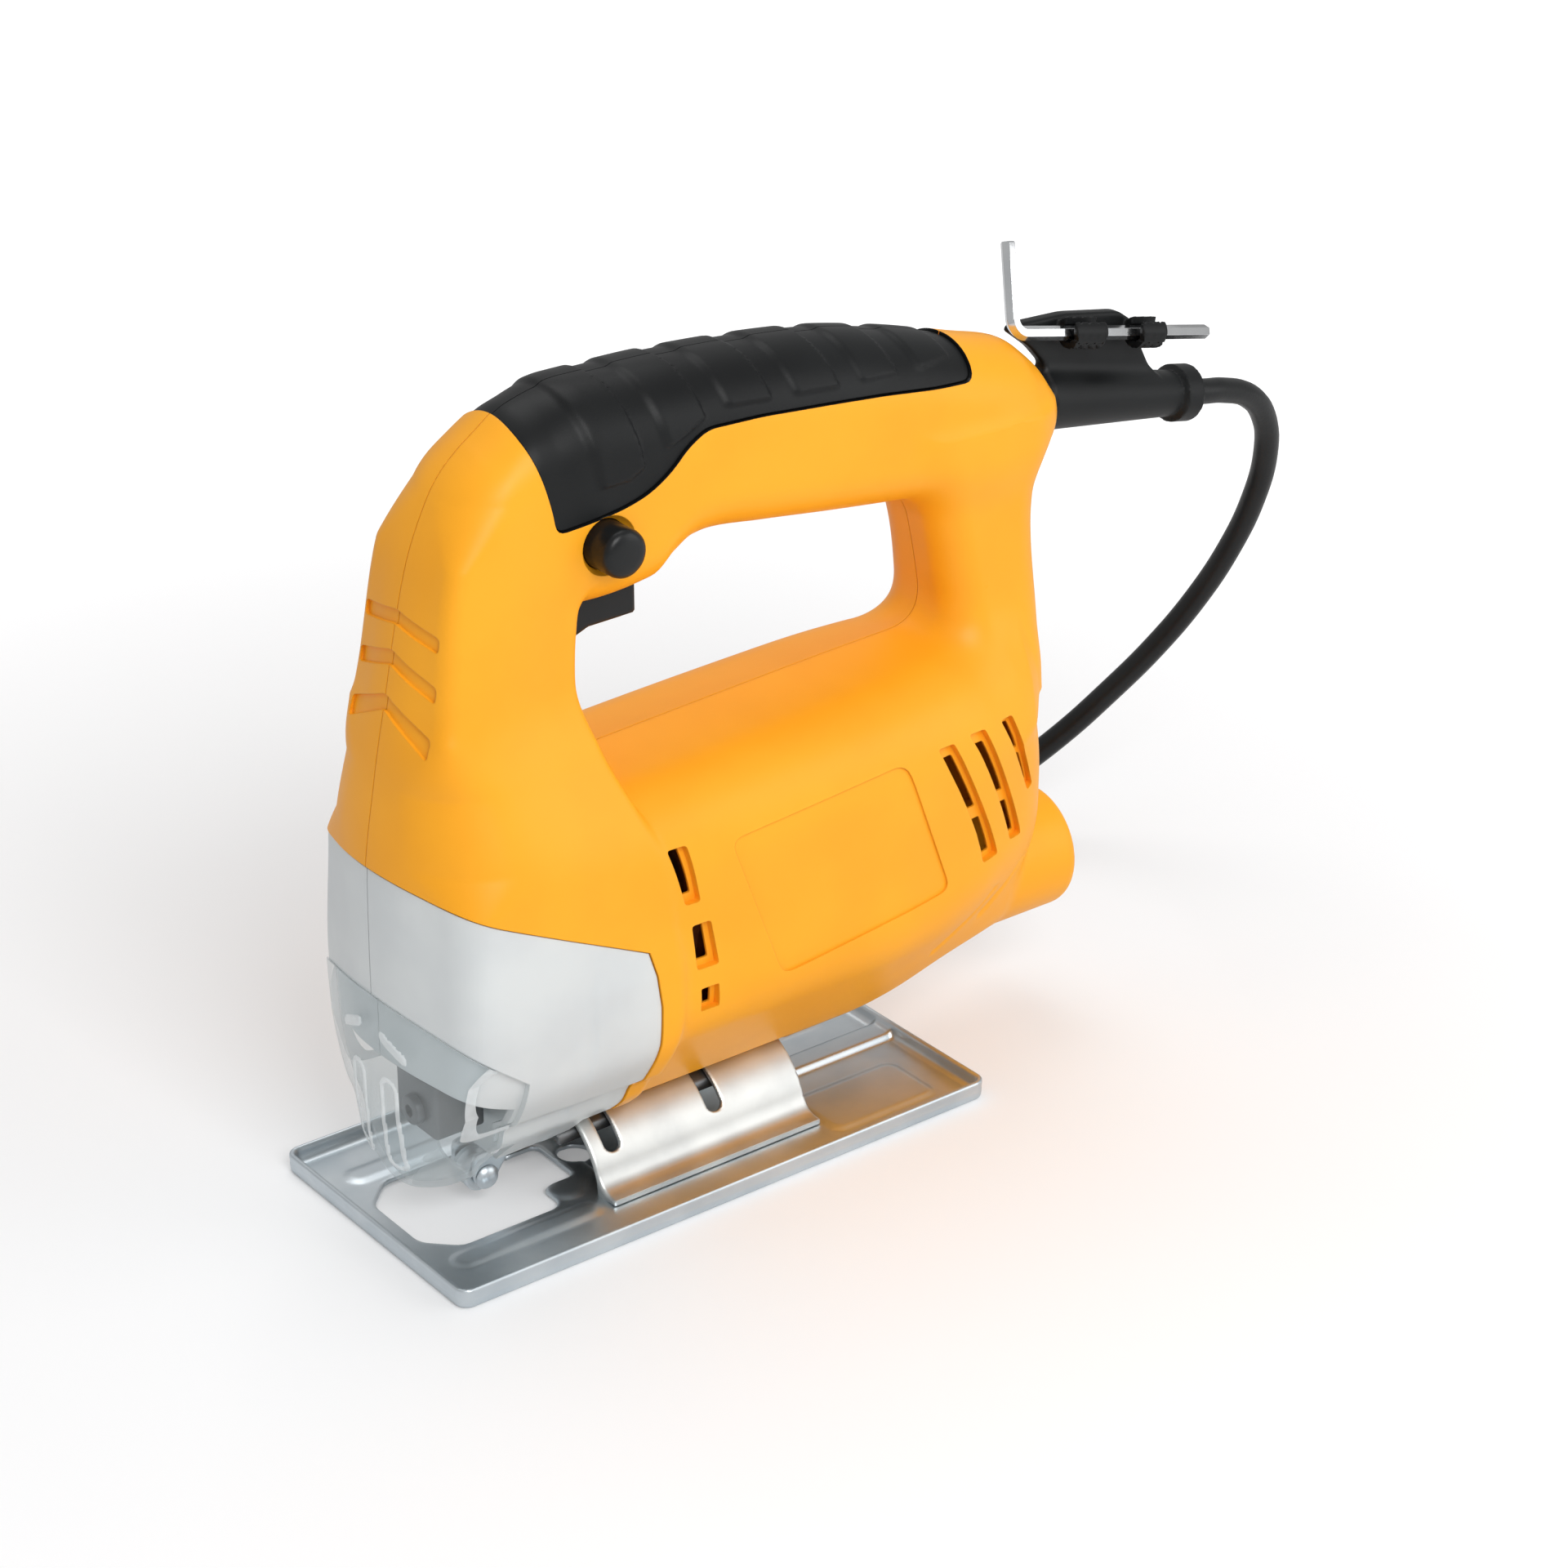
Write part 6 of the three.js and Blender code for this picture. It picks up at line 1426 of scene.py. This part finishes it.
print("screws made:", len(HOUSING_SCREWS) + len(NOSE_SCREWS) + len(TILT_SCREWS) + 2)

# %% [markdown]
# ## Roller, bracket and pin
# The roller backs the blade where it leaves the tool. A strap of plated steel is folded down
# into two ears that carry it on a pin with a domed head.

# %% Roller and bracket
ROLLER_X, ROLLER_Z = -46.8, 8
EAR_HALF = 5  # outside of the ears
STRAP_TOP = 14.4
STRAP_SHEET = 1.8
EAR = [(-50, 8), (-48.8, 5.4), (-44.8, 5.4), (-43.4, 8), (-39.3, 13.8), (-39.3, 14.3),
       (-50, 14.3)]


def bracket_field(x, y, z):
    side = np.abs(y)
    ear = outline_field(x, z, rounded(EAR, 2))
    ear = round_max(ear, np.abs(side - EAR_HALF + 0.8) - 0.75, 0.6)
    half = np.interp(x, [-42, -40], [4.9, 6])
    strap = round_max(np.abs(z - STRAP_TOP + STRAP_SHEET / 2) - STRAP_SHEET / 2, side - half, 0.6)
    strap = round_max(strap, np.abs(x + 36.4) - 5.3, 0.8)
    form = round_min(ear, strap, 1.2)
    form = round_max(form, 1.9 - np.hypot(x - ROLLER_X, z - ROLLER_Z), 0.4)
    return round_max(form, 2.1 - np.hypot(x + 35, y), 0.4)


bracket = net_object("roller_strap", bracket_field, (-51.5, -7, 4.5), (-30, 7, 15.5), FINE * 0.8,
                     ZINC)
fit(bracket, "housing", "zinc", "roller_bracket")
pin = turned("strap_pin", [(0, 0), (0.25, 1.6), (0.7, 2.5), (1.4, 3.0), (1.5, 1.6), (12, 1.6),
                           (12.05, 2.4), (12.8, 2.3), (13, 1.6), (13, 0)],
             (ROLLER_X, -6.5, ROLLER_Z), (0, 1, 0), ZINC)
fit(pin, "housing", "zinc", "roller_pin")
wheel = turned("blade_roller", [(-3, 1.8), (-3, 4.1), (-2.6, 4.5), (-1.3, 4.5), (-0.7, 3.3),
                                (0.7, 3.3), (1.3, 4.5), (2.6, 4.5), (3, 4.1), (3, 1.8), (-3, 1.8)],
               (ROLLER_X, 0, ROLLER_Z), (0, 1, 0), ZINC, 48)
fit(wheel, "guide_roller", "zinc", "guide_roller")
print("roller turns on its pin")

# %% [markdown]
# ## Blade clamp
# The block that grips a blade's shank hangs from the plunger. Its corners are broken, its
# front takes the clamp screw, and the slot below is left empty, as the tool is sold.

# %% Blade clamp
def clamp_field(x, y, z):
    ahead = x - BLADE_X
    form = box_2d(ahead, y, 6.5, 8, 1.0)
    form = round_max(form, np.abs(z - 31) - 7, 0.8)
    form = round_max(form, 4.3 - np.maximum(np.hypot(ahead, y), 36 - z), 0.4)
    slot = np.maximum(np.abs(y) - 0.8, np.maximum(np.abs(ahead) - 4, z - 31.2))
    form = round_max(form, -slot, 0.3)
    bore = np.maximum(np.hypot(y, z - CLAMP_SCREW_Z), ahead + 0.9)
    return round_max(form, 2.5 - bore, 0.4)


clamp = net_object("blade_block", clamp_field, (-62.5, -9, 23), (-47.5, 9, 39), FINE * 0.9,
                   DARK_STEEL)
fit(clamp, "plunger", "dark_steel", "blade_clamp")
print("clamp:", len(clamp.data.polygons), "faces")

# %% [markdown]
# ## Trigger and lock button
# The trigger is a plain curved blade under the handle, with the front swept down for the
# finger. The lock button beside it is turned, with a dished face.

# %% Trigger and button
SPRING_X = -10
TRIGGER = [(-24.4, 132.4), (-21.6, 134.6), (-17.4, 136.2), (-5.6, 136.5), (-5, 137.1),
           (-5, 150), (-24.4, 150)]


def trigger_field(x, y, z):
    form = outline_field(x, z, TRIGGER)
    form = round_max(form, np.abs(y) - 8, 1.0)
    spring_room = np.maximum(np.hypot(x - SPRING_X, y) - 3.6, 141.9 - z)
    return round_max(form, -spring_room, 0.4)


finger_blade = net_object("finger_blade", trigger_field, (-26, -9.5, 133), (-3.5, 9.5, 151.5),
                          FINE, BLACK)
fit(finger_blade, "trigger", "black_plastic", "trigger")
button = turned("lock_knob", [(0, 0), (0, 2.4), (2, 2.4), (2.3, 4.6), (2.7, 5.5), (10.6, 5.5),
                              (11.4, 5.3), (12.0, 4.8), (12.35, 4), (12.55, 2.8), (12.65, 1.4),
                              (12.7, 0)],
                (LOCK_X, -11.3, LOCK_Z), (0, -1, 0), BLACK, 56)
fit(button, "lock_button", "black_plastic", "lock_button")


print("trigger and button made")

# %% [markdown]
# ## The trigger's spring
# The spring stands in a pocket of the trigger. It is a skin over rings along a helix.

# %% Trigger spring
def spring_rings(low, high, radius, wire, turns):
    """Rings along a coil spring's wire, with one closed turn at each end."""
    around, sides = 24, 8
    count = around * turns
    rise = np.interp(np.arange(count + 1) / around, [0, 1, turns - 1, turns],
                     [low + wire, low + 3.2 * wire, high - 3.2 * wire, high - wire])
    rings = []
    for i, z in enumerate(rise):
        a = 2 * math.pi * i / around
        slants = [2 * math.pi * k / sides for k in range(sides)]
        reaches = [radius - wire + wire * math.cos(b) for b in slants]
        rings.append([(SPRING_X + reach * math.cos(a), reach * math.sin(a), z + wire * math.sin(b))
                      for reach, b in zip(reaches, slants)])
    return rings


low, high = [corner[2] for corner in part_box("trigger_spring")]
coil_spring = skinned("coil_spring", spring_rings(low / MM, high / MM, 3, 0.38, 6), BRIGHT)
smooth(coil_spring)
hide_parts("trigger_spring")
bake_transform(coil_spring)
print("spring:", len(coil_spring.data.polygons), "faces")

# %% [markdown]
# ## The cord's boot
# The rubber boot keeps the cord from bending at the housing: a tapered sleeve with a collar at
# its tip. A flat fin on top carries two open clips for the steel key.

# %% Boot
KEY_BEND = Vector((104.1, -5.2, 176.7))
KEY_ANGLE = math.radians(11.1)
KEY_ALONG = Vector((math.cos(KEY_ANGLE), 0, -math.sin(KEY_ANGLE)))
KEY_R = 3 / math.sqrt(3)
CLIPS = [(17, 27), (38.5, 46.5)]  # along the key's long arm
SLEEVE = [(-2.6, 8.2), (-0.2, 8.2), (0, 6.7), (8.2, 6.7), (9, 7.4), (16, 7.1), (52, 5.6),
          (52.9, 7.0), (57.9, 7.0), (58.9, 5.8)]
FIN = [(117.6, 157), (117.4, 165.6), (113, 170.4), (106.4, 175.4), (108.4, 177), (123.6, 176.6),
       (140.6, 173.8), (145.2, 170.6), (148.6, 163), (152.4, 156), (150, 150)]


def boot_field(x, y, z):
    dx, dz = x - BOOT_START[0], z - BOOT_START[2]
    along = dx * BOOT_AXIS[0] + dz * BOOT_AXIS[2]
    up = dz * BOOT_AXIS[0] - dx * BOOT_AXIS[2]
    r = np.hypot(y, up)
    sleeve = r - np.interp(along, *zip(*SLEEVE))
    sleeve = round_max(sleeve * 0.92, np.abs(along - 28.15) - 30.75, 0.8)
    fin = round_max(outline_field(x, z, rounded(FIN, 1.6)), np.abs(y) - 1.8, 1.0)
    form = round_min(sleeve, fin, 2.6)
    form = round_max(form, 3.45 - r, 0.4)
    kx, ky, kz = x - KEY_BEND[0], y - KEY_BEND[1], z - KEY_BEND[2]
    reach = kx * KEY_ALONG[0] + kz * KEY_ALONG[2]
    rise = kz * KEY_ALONG[0] - kx * KEY_ALONG[2]
    ring = np.abs(np.hypot(ky, rise) - KEY_R - 1.15) - 0.85
    mouth = np.maximum(1.45 - np.abs(ky + 0.4), -rise)
    ring = np.maximum(ring, mouth * (rise > 0) - 1e-3 * (rise <= 0))
    clips = None
    for start, end in CLIPS:
        clip = round_max(ring, np.abs(reach - (start + end) / 2) - (end - start) / 2, 0.5)
        clips = clip if clips is None else np.minimum(clips, clip)
    return round_min(form, clips, 1.0)


boot = net_object("boot", boot_field, (104, -10, 139), (169, 10, 179.5), FINE, RUBBER)
fit(boot, "housing", "black_rubber", "cord_boot")


print("boot:", len(boot.data.polygons), "faces")

# %% [markdown]
# ## The hex key
# The key snaps into the boot's clips and slides in them. It is one bar of hexagon section, so
# it is drawn as rings along its path, with a small chamfer at both ends.

# %% Hex key
def key_rings():
    """Rings of six corners along the long arm, round the bend and up the short arm."""
    lean = math.radians(20)
    up = Vector((0, math.sin(lean), math.cos(lean)))
    back = Vector((-1, 0, 0))
    spin = Matrix.Rotation(KEY_ANGLE, 3, "Y")
    across = up.cross(back)
    bend_r = 3.5
    centre = (up - back) * bend_r
    path = [(back * -63, back, 0.86), (back * -62.6, back, 1)]  # place, direction, thickness
    for t in np.linspace(0, math.pi / 2, 11):
        place = centre - up * bend_r * math.cos(t) + back * bend_r * math.sin(t)
        path.append((place, back * math.cos(t) + up * math.sin(t), 1))
    path += [(up * 20.6, up, 1), (up * 21, up, 0.86)]
    rings = []
    for place, along, share in path:
        normal = along.cross(across).normalized()
        rings.append([tuple(KEY_BEND + spin @ (place + across * u + normal * v))
                      for u, v in hexagon(KEY_R * share)])
    return rings


key = skinned("key_bar", key_rings(), BRIGHT)
fit(key, "hex_key", "steel", "hex_key")
print("key:", len(key.data.polygons), "faces")

# %% [markdown]
# ## The plug
# A two-pin plug lies on the coil. Its body is a bar that widens from the cord to the grip,
# with ribs for the fingers, and its pins stand on a bridge in its face.

# %% Plug
PLUG_Z = PLUG_ENTRY[2]
PLUG_Y = PLUG_ENTRY[1]
PLUG_LONG = 51
PLUG_AT = flowing([(0, 4.4, 4.4), (3, 4.8, 4.8), (15, 5.6, 5.4), (20, 10, 6.4), (27, 13, 7),
                   (44, 14.3, 7), (PLUG_LONG, 14.3, 7)])


def plug_field(x, y, z):
    along = PLUG_ENTRY[0] - x
    half, thick = PLUG_AT(along)
    side = np.abs(y - PLUG_Y)
    form = bar_section(side, z - PLUG_Z, half, -thick, thick, 4.2, 4.2)
    form = round_max(form, np.abs(along - PLUG_LONG / 2) - PLUG_LONG / 2, 1.4)
    rings = np.maximum(np.abs((along + 1.4) % 2.8 - 1.4) - 0.45, np.abs(along - 8.4) - 5.8)
    form = form + 0.7 * band(rings, 0, 0.6)
    ribs = np.maximum(np.abs((along + 1.5) % 3 - 1.5) - 0.5, np.abs(along - 36) - 7)
    form = form + 0.5 * band(ribs, 0, 0.6) * (side > half - 5)
    return np.maximum(form, 3.2 - np.maximum(np.hypot(y - PLUG_Y, z - PLUG_Z), along - 8))


plug = net_object("plug_shell", plug_field, (55.5, 70, 18), (109.5, 102, 35), FINE * 1.2, RUBBER)
fit(plug, "housing", "black_rubber", "plug_body")
PIN_FACE = PLUG_ENTRY[0] - PLUG_LONG
bridge = rounded([(-11, -4.6), (11, -4.6), (11, 4.6), (-11, 4.6)], 4.4)
pins = slanted_prism("plug_prongs", bridge, (PIN_FACE, PLUG_Y, PLUG_Z), Vector((-1, 0, 0)), -3,
                     0.5, BRIGHT)
for side in (-1, 1):
    prong = turned("prong", [(-2, 0), (-2, 1.9), (7, 1.9), (7.2, 1.75), (17.2, 1.75), (18.6, 1.3),
                             (19, 0.6), (19, 0)],
                   (PIN_FACE, PLUG_Y + side * 9.5, PLUG_Z), (-1, 0, 0), BRIGHT, 28)
    combine(pins, "UNION", prong)
fit(pins, "housing", "steel", "plug_pins")

print("plug:", len(plug.data.polygons), "faces")

# %% [markdown]
# ## The strap
# A ridged plastic strap holds the coil together.

# %% Strap
TIE_HALF = 6
tie_low, tie_high = [Vector(corner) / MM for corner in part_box("cord_tie")]
tie_middle = (tie_low + tie_high) / 2


def tie_field(x, y, z):
    half_y, half_z = (tie_high - tie_low)[1] / 2, (tie_high - tie_low)[2] / 2
    section = box_2d(y - tie_middle[1], z - tie_middle[2], half_y, half_z, 3.4)
    sheet = np.abs(section + 0.55) - 0.5
    form = round_max(sheet, np.abs(x - tie_middle[0]) - TIE_HALF + 0.1, 0.6)
    ridge = np.abs((x + 1) % 2 - 1) - 0.35
    return form + 0.2 * band(ridge, 0, 0.4)


tie = net_object("coil_strap", tie_field, tie_low - Vector((1, 1, 1)), tie_high + Vector((1, 1, 1)),
                 FINE, BLACK)
fit(tie, "housing", "black_plastic", "cord_tie")

# %% [markdown]
# ## The drive inside
# The motor and gears keep their CAD shapes, which are already the right ones, and get their
# finishes: laminated iron, enamelled copper, carbon and drawn steel. They show through the
# vents, the dust port and the underside.

# %% Carried-over pieces
FINISHES = {
    STEEL: ["gear_axle", "front_bearing", "rear_bearing", "plunger_rod", "crank_gear", "crank_pin",
            "armature_shaft"],
    DARK_STEEL: ["clamp_nut_plate", "crank_yoke"],
    LAMINATED: ["stator_core", "armature_core"],
    COPPER: ["field_coils", "armature_winding", "commutator"],
    GREY: ["gear_frame", "suppressor_capacitor"],
    BRONZE: ["lower_bush", "upper_bush", "brush_holder_left", "brush_holder_right"],
    CARBON: ["carbon_brush_left", "carbon_brush_right"],
    BLACK: ["switch_body", "cord_clamp", "cooling_fan"],
    CORD_BLACK: ["cord_lead_in"],
}
for finish, names in FINISHES.items():
    for mesh in [nodes[name].data for name in names]:
        if not mesh.materials:
            mesh.materials.append(finish)
        for i in range(len(mesh.materials)):
            mesh.materials[i] = finish
print(sum(len(names) for names in FINISHES.values()), "carried-over pieces finished")

# %% [markdown]
# ## Measure the whole
# A finish may round an edge, but the tool must keep its size. The box round everything is
# measured again and written out beside the CAD's own box, so the two can be compared.

# %% Box sizes
visual_box = [list(corner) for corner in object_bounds()]
print("visual box, mm:", [[round(v / MM, 1) for v in corner] for corner in visual_box])
